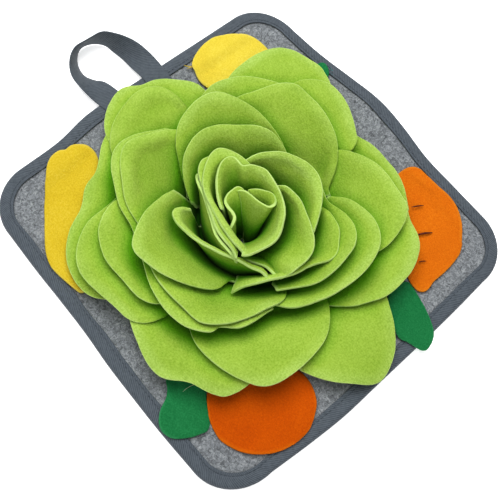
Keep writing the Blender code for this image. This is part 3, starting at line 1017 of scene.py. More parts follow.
@dataclass
class HangingLoop:
    """A loop of tape sewn down at both ends and standing on edge at its bend.

    Sizes are in mm.
    """

    finish: TwillFinish = field(default_factory=TwillFinish)
    width: float = 20.0
    thickness: float = 1.2
    along: int = 120
    across: int = 12
    next_step: float = 0.5
    rows: tuple[LoopRow, ...] = (
        LoopRow(-112.0, 86.0, 6.6, 0.0), LoopRow(-125.5, 95.0, 6.5, 0.0),
        LoopRow(-134.0, 100.5, 6.8, 0.06), LoopRow(-142.5, 104.5, 7.8, 0.35),
        LoopRow(-151.0, 110.5, 9.0, 0.58), LoopRow(-156.0, 120.5, 10.7, 0.85),
        LoopRow(-156.5, 130.5, 10.8, 1.06), LoopRow(-153.0, 139.0, 10.4, 1.25),
        LoopRow(-145.5, 144.5, 10.4, 1.20), LoopRow(-136.5, 147.0, 10.8, 1.0),
        LoopRow(-126.0, 144.0, 10.4, 0.75), LoopRow(-114.5, 139.5, 8.6, 0.48),
        LoopRow(-104.5, 132.5, 7.6, 0.22), LoopRow(-96.5, 125.8, 6.9, 0.04),
        LoopRow(-90.5, 119.5, 6.5, 0.0), LoopRow(-80.0, 108.0, 6.6, 0.0),
    )

    def surface(self, u: np.ndarray, v: np.ndarray) -> np.ndarray:
        """Middle surface of the tape, turned on edge as its rows say.

        Args:
            u: -1 to 1 across the tape.
            v: 0 to 1 along it.

        Returns:
            Places in mm.
        """
        table = np.array([(r.right, r.up, r.height, r.turn) for r in self.rows])
        walk = np.concatenate([[0.0], np.cumsum(np.hypot(*np.diff(table[:, :2], axis=0).T))])
        place = v * walk[-1]
        right, up, height, turn = (soft_curve(place, walk, column) for column in table.T)
        near, far = place - self.next_step, place + self.next_step
        ahead_right, ahead_up = (
            soft_curve(far, walk, column) - soft_curve(near, walk, column) for column in table.T[:2])
        ahead_x, ahead_y = from_corner_axes(ahead_right, ahead_up)
        size = np.hypot(ahead_x, ahead_y)
        lean = turn * QUARTER_TURN
        off = 0.5 * self.width * u
        x, y = from_corner_axes(right, up)
        x = x - ahead_y / size * np.cos(lean) * off
        y = y + ahead_x / size * np.cos(lean) * off
        return np.stack([x, y, height + np.sin(lean) * off], axis=-1)

    def build(self) -> bpy.types.Object:
        """Returns:
            The loop.
        """
        piece = grid_piece("tape_loop", self.across, self.along)
        shape_grid(piece, self.surface)
        width, length, area = surface_size(self.surface, steps=80)
        scale_map(piece, width, length)
        thicken(piece, self.thickness, 1)
        finish_piece(piece, self.finish.material(), ["hanging_loop"])
        return piece


# ================================================================= the patches
@dataclass(frozen=True)
class Strand:
    """A short length of thread that tapers at both ends.

    Its ends are on the corner axes with a height, in mm, and bow is how far
    its middle stands off the straight line, in plan.
    """

    start: Spot
    end: Spot
    radius: float = 0.4
    bow: float = 0.0

    def build(self, name: str, rings: int = 14) -> bpy.types.Object:
        """Model the strand as one closed spindle.

        Args:
            name: the piece's name.
            rings: rings of facets along it.

        Returns:
            The strand.
        """
        deselect_all()
        bpy.ops.mesh.primitive_uv_sphere_add(segments=6, ring_count=rings, radius=1.0)
        piece = name_piece(name)
        ball = places_of(piece)
        start, end = np.array(self.start, dtype=float), np.array(self.end, dtype=float)
        ahead = end - start
        ahead = ahead / np.linalg.norm(ahead)
        side = np.array((-ahead[1], ahead[0], 0.0))
        over = np.cross(ahead, side)
        share = 0.5 * (ball[:, 2:3] + 1.0)
        line = start + (end - start) * share + side * self.bow * 4.0 * share * (1.0 - share)
        line = line + side * ball[:, 0:1] * self.radius + over * ball[:, 1:2] * self.radius
        x, y = from_corner_axes(line[:, 0], line[:, 1])
        set_places(piece, np.stack([x, y, line[:, 2]], axis=-1) * MM)
        bpy.ops.object.shade_smooth()
        return piece


@dataclass
class FleecePatch:
    """A flat fleece shape sewn to the mat, half on the felt and half on the tape.

    Its outline is a closed row of plan places on the corner axes.  Sizes are
    in mm.
    """

    name: str
    node: str
    slot: Slot
    finish: FleeceFinish
    outline: tuple[Pair, ...]
    creases: tuple[Crease, ...] = ()
    facets: int = 36
    thickness: float = 2.0
    clearance: float = 0.5
    felt_top: float = 3.0
    tape_top: float = 5.6
    climb_start: float = 30.0
    climb_end: float = 19.0
    swell: float = 0.6
    swell_size: float = 26.0
    swell_seed: int = 23
    edge_wander: float = 0.35
    edge_size: float = 9.0
    edge_seeds: tuple[int, int] = (21, 22)
    edge_start: float = 0.8
    rim_dip: float = 0.5
    dip_start: float = 0.9
    skin: float = 0.12
    skin_size: float = 3.2
    skin_seed: int = 31
    spare: int = 3

    def ring(self, turn: np.ndarray) -> tuple[np.ndarray, np.ndarray]:
        """Find plan places on the outline, which is read as one closed curve.

        Args:
            turn: how far round they are, where 1 is once round.

        Returns:
            The places' two coordinates on the corner axes.
        """
        table = np.array(self.outline, dtype=float)
        table = np.concatenate([table[-self.spare:], table, table[:self.spare + 1]])
        walk = np.concatenate([[0.0], np.cumsum(np.hypot(*np.diff(table, axis=0).T))])
        first, last = walk[self.spare], walk[-self.spare - 1]
        place = first + (turn % 1.0) * (last - first)
        return soft_curve(place, walk, table[:, 0]), soft_curve(place, walk, table[:, 1])

    def surface_on(self, plan: MatPlan) -> Surface:
        """Lay the patch's middle surface over a mat.

        Args:
            plan: the mat.

        Returns:
            The surface.
        """
        middle = np.array(self.outline, dtype=float).mean(axis=0)

        def surface(u: np.ndarray, v: np.ndarray) -> np.ndarray:
            """Draw a square grid out to the outline.

            Args:
                u: -1 to 1 across the grid.
                v: 0 to 1 along it.

            Returns:
                Places in mm.
            """
            reach, turn = round_the_square(u, v)
            ring_right, ring_up = self.ring(turn)
            plan_right = middle[0] + (ring_right - middle[0]) * reach
            plan_up = middle[1] + (ring_up - middle[1]) * reach
            x, y = from_corner_axes(plan_right, plan_up)
            flat = np.stack([x, y, 0.0 * x], axis=-1)
            rim = smooth_step((reach - self.edge_start) / (1.0 - self.edge_start))
            x = x + self.edge_wander * rim * cloth_noise(flat, self.edge_size, self.edge_seeds[0])
            y = y + self.edge_wander * rim * cloth_noise(flat, self.edge_size, self.edge_seeds[1])
            climb = self.climb_start - plan.inset(x, y)
            climb = smooth_step(climb / (self.climb_start - self.climb_end))
            low = self.felt_top + self.clearance
            high = self.tape_top + self.clearance
            rise = low + (high - low) * climb + plan.lift(x, y) + 0.5 * self.thickness
            rise = rise + self.swell * (1.0 + cloth_noise(flat, self.swell_size, self.swell_seed))
            rise = rise - self.rim_dip * smooth_step((reach - self.dip_start) / (1.0 - self.dip_start))
            for crease in self.creases:
                rise = rise - crease.height(plan_right, plan_up)
            return np.stack([x, y, rise], axis=-1)

        return surface

    def build(self, plan: MatPlan, strands: Sequence[Strand] = (),
              thread: Optional[ThreadFinish] = None) -> bpy.types.Object:
        """Args:
            plan: the mat that it is sewn to.
            strands: stitches and thread ends that show on it.
            thread: their finish.

        Returns:
            The patch.
        """
        surface = self.surface_on(plan)
        piece = grid_piece(self.name, self.facets, self.facets)
        shape_grid(piece, surface)
        thicken(piece, self.thickness, 1)
        roughen(piece, self.skin, self.skin_size, self.skin_seed)
        finish_piece(piece, self.finish.material(), [self.node])
        material = thread.material() if thread else None
        for number, strand in enumerate(strands, start=1):
            end = strand.build(f"{self.name}_thread_{number}")
            finish_piece(end, material)
        surface_size(surface)
        return piece


# ==================================================================== the rose
@dataclass(frozen=True)
class Petal:
    """One petal of the rose that lies outward on its neighbours.

    Its rim is a row of plan places on the corner axes, anticlockwise.  Foot is
    the radius of its seam, spread is the seam's sweep as a share of the rim's,
    and hem is how far its seam allowance runs inward, in mm.
    """

    name: str
    foot: float
    rim: tuple[Pair, ...]
    spread: float = 0.72
    hem: float = 0.0
    creases: tuple[Crease, ...] = ()

    def rim_places(self, u: np.ndarray) -> tuple[np.ndarray, np.ndarray]:
        """Find plan places on the rim.

        Args:
            u: how far along it, from one end (-1) to the other (1).

        Returns:
            The places' two coordinates on the corner axes.
        """
        table = np.array(self.rim, dtype=float)
        walk = np.concatenate([[0.0], np.cumsum(np.hypot(*np.diff(table, axis=0).T))])
        place = 0.5 * (np.clip(u, -1.0, 1.0) + 1.0) * walk[-1]
        return soft_curve(place, walk, table[:, 0]), soft_curve(place, walk, table[:, 1])


@dataclass(frozen=True)
class UprightPetal(Petal):
    """One petal of the inner rings, which stands up and turns its lip outward.

    Heart is the middle of its seam's ring and sweep the ring's two ends in
    degrees from the mat's +X+Y corner; height is its rim's, lip is how far the
    rim turns out and drop how much lower its ends are, in mm.
    """

    heart: Pair = (-3.0, -2.0)
    sweep: Pair = (0.0, 90.0)
    height: float = 45.0
    lip: float = 1.5
    drop: float = 4.0


@dataclass
class Rose:
    """Every fleece petal, sewn at its foot in rings on the felt.

    Sizes are in mm and rises in degrees.  Packing crowds a petal's rows of
    facets toward its rim.  Cell, cells, blur, shallow and deep set the painted
    shade: how deep a place lies under the blurred skin of the petals, which
    darkens and greens its colour.
    """

    finish: FleeceFinish
    thickness: float = 2.4
    radius: float = 88.0
    bud_right: float = -3.0
    bud_up: float = -2.0
    arc_length: float = 65.0
    foot_rise_outer: float = 31.0
    foot_rise_bud: float = 90.0
    tip_rise_outer: float = -18.0
    tip_rise_bud: float = 75.0
    full_width_at: float = 0.6
    least_side: float = 5.0
    least_rim_sine: float = -0.95
    rim_roll: float = 0.9
    wall_reach: float = 0.30
    wall_rise: float = 0.72
    lip_start: float = 0.88
    lip_fall: float = 0.35
    drop_power: int = 6
    hem_share: float = 0.10
    felt_top: float = 3.0
    clearance: float = 0.5
    across: int = 40
    along: int = 26
    packing: float = 1.35
    drift: float = 1.6
    drift_size: float = 34.0
    drift_rise: float = 20.0
    drift_seeds: tuple[int, int, int] = (41, 42, 43)
    ruffle: float = 0.6
    outer_ruffle: float = 1.5
    ruffle_start: float = 0.45
    ruffle_size: float = 24.0
    ruffle_seed: int = 50
    crimp: float = 0.75
    crimp_size: float = 10.0
    crimp_seed: int = 150
    probe: float = 0.02
    skin: float = 0.15
    skin_size: float = 3.2
    skin_seed: int = 71
    # The grid and depths below set the petals' painted shade.
    cell: float = 3.0
    cells: int = 120
    blur: int = 3
    shallow: float = -6.0
    deep: float = 26.0
    petals: tuple[Petal, ...] = (
        Petal("outer_1", foot=85, hem=12, rim=((40, -112), (55, -117), (66, -119), (77, -119),
            (100, -115), (105, -108), (108, -100), (110, -89), (109, -79), (101, -47))),
        Petal("outer_2", foot=85, rim=((119, 18), (114, 41), (109, 51), (102, 60), (88, 74), (77, 80),
            (61, 94))),
        Petal("outer_3", foot=88.5, rim=((-106, 76), (-117, 68), (-123, 54), (-127, 23), (-131, 16),
            (-132, -4), (-138, -24), (-138, -34), (-137, -44), (-113, -72), (-95, -72))),
        Petal("outer_4", foot=80, rim=((-86, -77), (-84, -87), (-79, -98), (-58, -125), (-36, -128),
            (-20, -134), (-12, -135), (-5, -132), (7, -122), (13, -113))),
        Petal("outer_5", foot=82, rim=((-48, 104), (-55, 109), (-72, 111), (-91, 107), (-98, 102),
            (-115, 97), (-120, 89), (-123, 78), (-124, 66), (-119, 52), (-110, 42))),
        Petal("outer_6", foot=80, rim=((55, 114), (51, 127), (45, 138), (38, 143), (20, 151), (10, 152),
            (0, 148), (-18, 134), (-25, 126), (-36, 106))),
        Petal("outer_7", foot=76, rim=((50, -56), (58, -61), (68, -62), (77, -62), (88, -59), (99, -55),
            (115, -40), (121, -32), (125, -22), (126, -13), (124, -3), (119, 7), (115, 25))),
        Petal("second_1", foot=74, hem=11, rim=((64, 59), (72, 65), (76, 73), (74, 82), (70, 94),
            (65, 104), (52, 119), (35, 120), (27, 118), (19, 112), (14, 105))),
        Petal("second_2", foot=71, hem=14, rim=((-45, -80), (-37, -99), (-23, -112), (-3, -123),
            (17, -127), (25, -124), (33, -118), (50, -100), (56, -91), (60, -70), (59, -60),
            (55, -51))),
        Petal("second_3", foot=74, rim=((-104, 9), (-111, -2), (-125, -26), (-128, -45), (-126, -52),
            (-94, -80), (-84, -87), (-71, -88), (-61, -82), (-56, -74))),
        Petal("second_4", foot=76, rim=((-56, 80), (-66, 90), (-76, 96), (-84, 98), (-93, 96),
            (-101, 91), (-108, 82), (-114, 70), (-117, 57), (-117, 46), (-109, 28)),
            creases=(Crease((-0.95, 0.9), (0.95, 0.9), -3.4, 0.1),)),
        Petal("third_1", foot=67, hem=10, rim=((88, -23), (95, -20), (108, -4), (112, 6), (113, 15),
            (109, 25), (97, 44), (81, 57), (72, 61), (63, 63), (57, 62))),
        Petal("third_2", foot=64, rim=((-98, 1), (-105, -1), (-109, -7), (-111, -15), (-112, -26),
            (-110, -36), (-106, -46), (-91, -61), (-76, -73), (-69, -75), (-62, -74), (-56, -71))),
        Petal("third_3", foot=68, rim=((24, 105), (16, 110), (6, 113), (-14, 115), (-22, 114),
            (-29, 111), (-44, 102), (-53, 89))),
        Petal("third_4", foot=61, rim=((53, 25), (58, 39), (60, 49), (60, 61), (58, 70), (47, 89),
            (32, 103), (25, 108), (17, 109), (9, 108), (-11, 100), (-20, 96), (-26, 91)),
            creases=(Crease((-0.8, 0.2), (-0.4, 0.75), 2.6, 0.12),)),
        Petal("third_5", foot=58, rim=((-65, 58), (-73, 61), (-84, 56), (-94, 51), (-109, 39),
            (-111, 35), (-105, 2), (-101, -7), (-91, -22), (-88, -29)),
            creases=(Crease((-0.95, 0.93), (0.6, 0.93), -2.2, 0.09),)),
        Petal("third_6", foot=54, rim=((-62, 60), (-71, 58), (-88, 49), (-104, 36), (-105, 31),
            (-101, 9), (-98, -2), (-83, -25)),
            creases=(Crease((-0.95, 0.92), (0.6, 0.92), -3.6, 0.1),)),
        Petal("fourth_1", foot=49, hem=8, rim=((24, 51), (12, 68), (3, 76), (-7, 82), (-27, 88),
            (-36, 89), (-44, 86), (-53, 80), (-59, 73), (-64, 64), (-66, 55), (-66, 45), (-63, 36),
            (-60, 27), (-52, 13)),
            creases=(Crease((-0.95, 0.5), (-0.55, 0.95), 2.2, 0.1),)),
        Petal("fourth_2", foot=54, rim=((11, -66), (20, -69), (29, -70), (39, -67), (59, -57),
            (86, -36), (90, -28), (92, -16), (90, -7), (86, 2), (79, 11), (71, 19), (56, 25))),
        Petal("fourth_3", foot=44, rim=((17, -59), (45, -51), (54, -46), (69, -31), (73, -24),
            (74, -16), (72, -6), (66, 4), (54, 17), (49, 28))),
        Petal("fourth_4", foot=54, rim=((-81, -43), (-68, -69), (-54, -85), (-45, -91), (-37, -93),
            (-22, -91), (-21, -89), (-7, -88), (17, -71))),
        Petal("fourth_5", foot=50, spread=0.95, hem=7, rim=((-77, -44), (-73, -51), (-67, -60),
            (-43, -82), (-38, -86), (0, -80), (10, -74), (20, -68), (25, -62), (26, -54), (24, -47))),
        Petal("fifth_1", foot=39, rim=((23, 47), (13, 59), (6, 64), (-2, 66), (-24, 64), (-36, 61),
            (-45, 56), (-51, 50), (-56, 42), (-59, 34), (-59, 26), (-57, 18), (-50, 5))),
        Petal("fifth_2", foot=44, spread=1.05, hem=4, rim=((-64, 12), (-70, 6), (-77, -4), (-82, -13),
            (-86, -32), (-86, -39), (-83, -46), (-79, -49), (-48, -63), (-24, -60), (-13, -50),
            (-10, -52), (-9, -57)),
            creases=(Crease((-0.95, 0.55), (0.1, 0.5), 3.0, 0.14),)),
        UprightPetal("fifth_3", foot=42, sweep=(260, 380), height=39, lip=2, drop=14, hem=6,
            rim=((-14, -62), (-7, -59), (3, -56), (12, -53), (22, -50), (31, -46), (40, -40), (49, -36),
            (56, -34), (61, -29), (62, -21), (62, -10), (58, -2), (54, 4), (49, 8), (44, 12))),
        UprightPetal("sixth_1", foot=30, sweep=(-15, 95), height=46, lip=2, hem=5, rim=((39, -23),
            (42, -16), (45, -6), (47, 4), (47, 14), (45, 23), (40, 32), (33, 38), (25, 42), (16, 45),
            (6, 45), (-3, 43), (-9, 39), (-14, 34))),
        UprightPetal("sixth_2", foot=22, sweep=(-108, 48), height=46, lip=2, drop=14, hem=5,
            rim=((20, -51), (25, -49), (31, -44), (38, -37), (42, -29), (42, -21), (40, -13), (36, -3),
            (31, 7), (25, 13), (19, 18), (13, 19), (7, 19))),
        UprightPetal("sixth_3", foot=41, sweep=(186, 286), height=41, lip=3, hem=5, rim=((-52, -5),
            (-57, -5), (-62, -7), (-63, -11), (-60, -17), (-54, -22), (-47, -27), (-38, -31),
            (-29, -34), (-21, -37), (-12, -41), (-3, -46), (5, -49), (10, -53))),
        UprightPetal("sixth_4", foot=37, sweep=(168, 250), height=45, lip=1, drop=9, hem=5,
            rim=((-47, 24), (-46, 17), (-43, 9), (-40, 2), (-37, -6), (-34, -13), (-29, -23),
            (-23, -30), (-17, -36), (-12, -42))),
        UprightPetal("sixth_5", foot=26, sweep=(250, 294), height=37, lip=1, hem=4, rim=((-10, -39),
            (-4, -40), (3, -42), (9, -44), (14, -48), (18, -52))),
        UprightPetal("bud_1", foot=20, heart=(-8, -6), sweep=(116, 252), height=48, lip=4, hem=2,
            rim=((-36, 37), (-40, 34), (-44, 31), (-46, 26), (-46, 21), (-44, 14), (-41, 6), (-38, -3),
            (-34, -12), (-29, -22), (-23, -29), (-17, -35), (-13, -41))),
        UprightPetal("bud_2", foot=16.5, heart=(-8, -6), sweep=(96, 262), height=51, lip=5, hem=11,
            rim=((-3, 27), (-8, 31), (-13, 35), (-19, 38), (-26, 40), (-33, 40), (-37, 36), (-40, 29),
            (-42, 19), (-42, 10), (-39, 1), (-33, -9), (-26, -20), (-18, -29), (-11, -36), (-7, -40))),
        UprightPetal("bud_3", foot=13, heart=(-8, -6), sweep=(272, 540), height=52, lip=1.5, hem=12,
            rim=((-11, -40), (-7, -40), (-1, -38), (6, -35), (11, -31), (16, -24), (18, -15), (19, -7),
            (17, 2), (13, 11), (8, 19), (3, 26), (-3, 28), (-9, 29), (-13, 26), (-16, 28), (-18, 32),
            (-22, 34), (-25, 33), (-29, 28), (-31, 21), (-32, 11), (-31, 2), (-27, -7))),
        UprightPetal("heart_1", foot=4, heart=(-3, -12), sweep=(110, -150), height=49, lip=0.8, hem=3,
            rim=((-8, 11), (-2, 11), (4, 10), (10, 8), (12, 5), (12, 0), (8, -3), (3, -1), (-2, 2),
            (-7, 6), (-11, 9), (-15, 10))),
        UprightPetal("heart_2", foot=4, heart=(-11, -14), sweep=(10, 250), height=47, lip=0.8, hem=3,
            rim=((-8, 8), (-12, 11), (-15, 12), (-19, 9), (-22, 6), (-24, 1), (-22, -4), (-19, -7),
            (-17, -11), (-18, -15), (-20, -19))),
    )

    def lying_surface(self, petal: Petal) -> Surface:
        """Shape the middle surface of a petal that lies outward.

        All of them lie on one family of nested shells, named by the radius of
        their seam.  A shell's upright section is an arc that leaves the felt
        at a foot angle and flattens toward its tip, and outer shells lie
        flatter, so that the shells don't cross.

        Args:
            petal: the petal.

        Returns:
            The surface.
        """
        share = petal.foot / self.radius
        centre = np.array((self.bud_right, self.bud_up)) * (1.0 - share)
        table = np.array(petal.rim, dtype=float) - centre
        turns = np.unwrap(np.arctan2(table[:, 1], table[:, 0]))
        middle = 0.5 * (turns.min() + turns.max())
        foot_rise = math.radians(self.foot_rise_bud + (self.foot_rise_outer - self.foot_rise_bud) * share)
        tip_rise = math.radians(self.tip_rise_bud + (self.tip_rise_outer - self.tip_rise_bud) * share)
        bend = (foot_rise - tip_rise) / self.arc_length
        base = self.felt_top + self.clearance + 0.5 * self.thickness * math.cos(foot_rise)

        def surface(u: np.ndarray, v: np.ndarray) -> np.ndarray:
            """Run from the seam to the rim.

            Args:
                u: -1 to 1 along the rim.
                v: 0 at the seam to 1 at the rim.

            Returns:
                Places in mm.
            """
            right, up = petal.rim_places(u)
            out = np.hypot(right - centre[0], up - centre[1])
            out = np.maximum(out, petal.foot + self.least_side)
            off = np.arctan2(up - centre[1], right - centre[0]) - middle
            off = (off + math.pi) % (2.0 * math.pi) - math.pi
            rim_sine = math.sin(foot_rise) - bend * (out - petal.foot)
            rim_sine = np.clip(rim_sine, self.least_rim_sine, 1.0)
            t = np.clip((v - self.hem_share) / (1.0 - self.hem_share), 0.0, 1.0)
            hem = petal.hem * np.clip(1.0 - v / self.hem_share, 0.0, 1.0)
            rise = foot_rise - (foot_rise - np.arcsin(rim_sine)) * t
            radius = petal.foot - hem + (math.sin(foot_rise) - np.sin(rise)) / bend
            height = (np.cos(rise) - math.cos(foot_rise)) / bend
            length = (foot_rise - np.arcsin(rim_sine)) / bend
            height = height + self.rim_roll * (1.0 - share) * length * t ** 4 * (1.0 - t)
            spread = petal.spread + (1.0 - petal.spread) * smooth_step(t / self.full_width_at)
            angle = middle + off * spread
            x, y = from_corner_axes(
                centre[0] + radius * np.cos(angle), centre[1] + radius * np.sin(angle))
            return np.stack([x, y, base + height], axis=-1)

        return surface

    def upright_surface(self, petal: UprightPetal) -> Surface:
        """Shape the middle surface of a petal that stands up.

        It rises from its arc of the seam's ring as a wall, bends outward to
        its rim and turns a lip.

        Args:
            petal: the petal.

        Returns:
            The surface.
        """
        base = self.felt_top + self.clearance + 0.5 * self.thickness

        def surface(u: np.ndarray, v: np.ndarray) -> np.ndarray:
            """Run from the seam to the rim.

            Args:
                u: -1 to 1 along the rim.
                v: 0 at the seam to 1 at the rim.

            Returns:
                Places in mm.
            """
            right, up = petal.rim_places(u)
            half_sweep = 0.5 * (petal.sweep[1] - petal.sweep[0])
            angle = np.radians(petal.sweep[0] + half_sweep * (u + 1.0))
            foot_right = petal.heart[0] + petal.foot * np.cos(angle)
            foot_up = petal.heart[1] + petal.foot * np.sin(angle)
            top = petal.height - petal.drop * np.abs(u) ** self.drop_power - base
            t = np.clip((v - self.hem_share) / (1.0 - self.hem_share), 0.0, 1.0)
            hem = petal.hem * np.clip(1.0 - v / self.hem_share, 0.0, 1.0)
            foot_right = foot_right - hem * np.cos(angle)
            foot_up = foot_up - hem * np.sin(angle)
            bow = 2.0 * t * (1.0 - t)
            share = t * t + bow * self.wall_reach
            turned = smooth_step((t - self.lip_start) / (1.0 - self.lip_start))
            height = base + top * (t * t + bow * self.wall_rise)
            height = height - self.lip_fall * petal.lip * turned ** 2
            out = np.stack([right - petal.heart[0], up - petal.heart[1]], axis=-1)
            out = out / np.maximum(np.linalg.norm(out, axis=-1, keepdims=True), 1.0)
            set_back = petal.lip * t ** 3 * (turned - 1.0)
            x, y = from_corner_axes(foot_right + (right - foot_right) * share + set_back * out[..., 0],
                                    foot_up + (up - foot_up) * share + set_back * out[..., 1])
            return np.stack([x, y, height], axis=-1)

        return surface

    def drifted(self, places: np.ndarray) -> np.ndarray:
        """Move places as the whole rose has slumped, neighbours together.

        Args:
            places: places in mm.

        Returns:
            The moved places.
        """
        share = smooth_step((places[..., 2] - self.felt_top) / self.drift_rise)[..., None]
        pushes = [cloth_noise(places, self.drift_size, seed) for seed in self.drift_seeds]
        push = np.stack(pushes, axis=-1)
        return places + push * self.drift * share

    def dressed(self, petal: Petal, seed: int) -> Surface:
        """Give a petal's surface its own folds and wavy rim.

        Args:
            petal: the petal.
            seed: its number, which picks its waves.

        Returns:
            The surface.
        """
        upright = isinstance(petal, UprightPetal)
        surface = self.upright_surface(petal) if upright else self.lying_surface(petal)

        def worn(u: np.ndarray, v: np.ndarray) -> np.ndarray:
            """Move the surface along its normals.

            Args:
                u: -1 to 1 along the rim.
                v: 0 at the seam to 1 at the rim.

            Returns:
                Places in mm.
            """
            places = self.drifted(surface(u, v))
            step = self.probe
            side = surface(u + step, v) - surface(u - step, v)
            ahead = surface(u, np.clip(v + step, 0.0, 1.0)) - surface(u, np.clip(v - step, 0.0, 1.0))
            normal = np.cross(side, ahead)
            normal = normal / np.maximum(np.linalg.norm(normal, axis=-1, keepdims=True), 1.0e-9)
            rim = smooth_step((v - self.ruffle_start) / (1.0 - self.ruffle_start))
            wave = self.ruffle + self.outer_ruffle * petal.foot / self.radius
            push = wave * rim * cloth_noise(places, self.ruffle_size, self.ruffle_seed + seed)
            crimp = cloth_noise(places, self.crimp_size, self.crimp_seed + seed)
            push = push + self.crimp * rim * crimp
            for crease in petal.creases:
                push = push + crease.height(u, v)
            return places + normal * push[..., None]

        return worn

    def packed(self, surface: Surface) -> Surface:
        """Crowd a surface's rows of facets toward its rim.

        Args:
            surface: gives places in mm for u and v.

        Returns:
            The same surface with its v moved.
        """
        def closer(u: np.ndarray, v: np.ndarray) -> np.ndarray:
            """Return the surface's places, v moved toward the rim."""
            return surface(u, 1.0 - (1.0 - v) ** self.packing)

        return closer

    def build(self) -> list[bpy.types.Object]:
        """Model and dress every petal.

        Returns:
            The petals.
        """
        material = self.finish.material()
        pieces = []
        for seed, petal in enumerate(self.petals):
            surface = self.dressed(petal, seed)
            piece = grid_piece("rose_" + petal.name, self.across, self.along)
            shape_grid(piece, self.packed(surface))
            thicken(piece, self.thickness, 1)
            roughen(piece, self.skin, self.skin_size, self.skin_seed)
            finish_piece(piece, material, ["petal_" + petal.name])
            surface_size(surface)
            pieces.append(piece)
        # Writes the depths that set the petals' painted shade.
        self.mark_painted_shade_depth(pieces)
        return pieces

    def mark_painted_shade_depth(self, pieces: Sequence[bpy.types.Object]) -> None:
        """Write on every petal how deep each of its places lies among the others.

        The highest petal over each cell of a plan grid makes a skin, which is
        blurred; a place well under it is crowded.  The depth sets the painted shade
        in the petals' colour, which stands for the shade and the green light
        bounced among the petals.

        Args:
            pieces: the finished petals.
        """
        places = [places_of(piece) / MM for piece in pieces]
        skin = np.zeros((self.cells, self.cells))
        middle = 0.5 * self.cells
        for spots in places:
            cell = np.clip((spots[:, :2] / self.cell + middle).astype(int), 0, self.cells - 1)
            np.maximum.at(skin, (cell[:, 0], cell[:, 1]), spots[:, 2])
        steps = range(-self.blur, self.blur + 1)
        skin = sum(np.roll(skin, step, 0) for step in steps) / len(steps)
        skin = sum(np.roll(skin, step, 1) for step in steps) / len(steps)
        for piece, spots in zip(pieces, places):
            grid = spots[:, :2] / self.cell + middle - 0.5
            low = np.clip(grid.astype(int), 0, self.cells - 2)
            x, y = (grid - low).T
            i, j = low.T
            over = ((1.0 - x) * ((1.0 - y) * skin[i, j] + y * skin[i, j + 1])
                    + x * ((1.0 - y) * skin[i + 1, j] + y * skin[i + 1, j + 1]))
            # Painted shade depth: 0 leaves the colour as it is, 1 gives the deepest painted shade.
            depth = (over - spots[:, 2] - self.shallow) / (self.deep - self.shallow)
            row = piece.data.attributes.new(PAINTED_SHADE_ATTRIBUTE, "FLOAT", "POINT")
            row.data.foreach_set("value", np.clip(depth, 0.0, 1.0).astype(np.float32))


# ================================================================== the studio
@dataclass(frozen=True)
class SoftBox:
    """One square soft light that faces the mat: its place and size in m, its power in W."""

    name: str
    place: Spot
    power: float
    size: float = 1.2

    def build(self) -> None:
        """Hang the light, turned to the mat's middle."""
        deselect_all()
        bpy.ops.object.light_add(type="AREA", location=self.place)
        light = name_piece(self.name)
        light.data.shape = "SQUARE"
        light.data.size = self.size
        light.data.energy = self.power
        x, y, z = self.place
        light.rotation_euler = (math.atan2(math.hypot(x, y), z), 0.0, math.atan2(y, x) + QUARTER_TURN)


@dataclass
class Studio:
    """A pale floor, soft light and the camera.

    Camera places are in mm and its roll in radians.  The floor is in m, and
    lies a little under the mat.  Sky is the strength of the white light from
    all round, and backdrop how bright it looks to the camera itself.
    """

    lens: float = 50.0
    sensor: float = 36.0
    nearest_view: float = 0.01
    camera_place: Spot = (109.609, -150.285, 514.572)
    camera_aim: Spot = (13.3295, -15.2818, 0.0)
    camera_roll: float = 0.0773
    floor_size: float = 12.0
    floor_height: float = -0.3 * MM
    sky: float = 0.22
    backdrop: float = 0.9
    tone_gamma: float = 0.82
    lights: tuple[SoftBox, ...] = (
        SoftBox("key_softbox", (-0.50, 0.28, 1.35), 24.0),
        SoftBox("fill_softbox", (0.55, -0.60, 1.25), 7.0))

    def add_floor(self) -> None:
        """Lay the studio paper under the mat."""
        deselect_all()
        bpy.ops.mesh.primitive_plane_add(size=self.floor_size, location=(0.0, 0.0, self.floor_height))
        floor = name_piece("studio_floor")
        floor.data.materials.append(FloorFinish().material())

    def add_camera(self) -> None:
        """Put the camera at its place, turned by its roll."""
        place = np.array(self.camera_place)
        ahead = np.array(self.camera_aim) - place
        ahead = ahead / np.linalg.norm(ahead)
        level_up = np.array((-math.sqrt(0.5), math.sqrt(0.5), 0.0))
        right = np.cross(ahead, level_up)
        right = right / np.linalg.norm(right)
        up = np.cross(right, ahead)
        c, s = math.cos(self.camera_roll), math.sin(self.camera_roll)
        right, up = c * right + s * up, c * up - s * right
        deselect_all()
        bpy.ops.object.camera_add()
        camera = name_piece("studio_camera")
        camera.data.lens = self.lens
        camera.data.sensor_width = self.sensor
        camera.data.clip_start = self.nearest_view
        matrix = np.eye(4)
        matrix[:3, 0] = right
        matrix[:3, 1] = up
        matrix[:3, 2] = -ahead
        matrix[:3, 3] = place * MM
        camera.matrix_world = Matrix(matrix.tolist())
        bpy.context.scene.camera = camera

    def add_sky(self) -> None:
        """Light the scene from all round, softly, with a paler backdrop in view."""
        world = bpy.data.worlds.new("studio_light")
        world.use_nodes = True
        sky = world.node_tree.nodes["Background"]
        sky.inputs["Color"].default_value = (1.0, 1.0, 1.0, 1.0)
        seen = add_node(world.node_tree, "ShaderNodeLightPath")
        strength = add_node(world.node_tree, "ShaderNodeMapRange", {
            "To Min": self.sky, "To Max": self.backdrop}, {"Value": seen.outputs["Is Camera Ray"]})
        world.node_tree.links.new(strength.outputs[0], sky.inputs["Strength"])
        bpy.context.scene.world = world

    def build(self) -> None:
        """Set up the floor, the light and the camera."""
        self.add_floor()
        self.add_camera()
        for light in self.lights:
            light.build()
        bpy.context.scene.view_settings.view_transform = "Standard"
        bpy.context.scene.view_settings.gamma = self.tone_gamma
        self.add_sky()


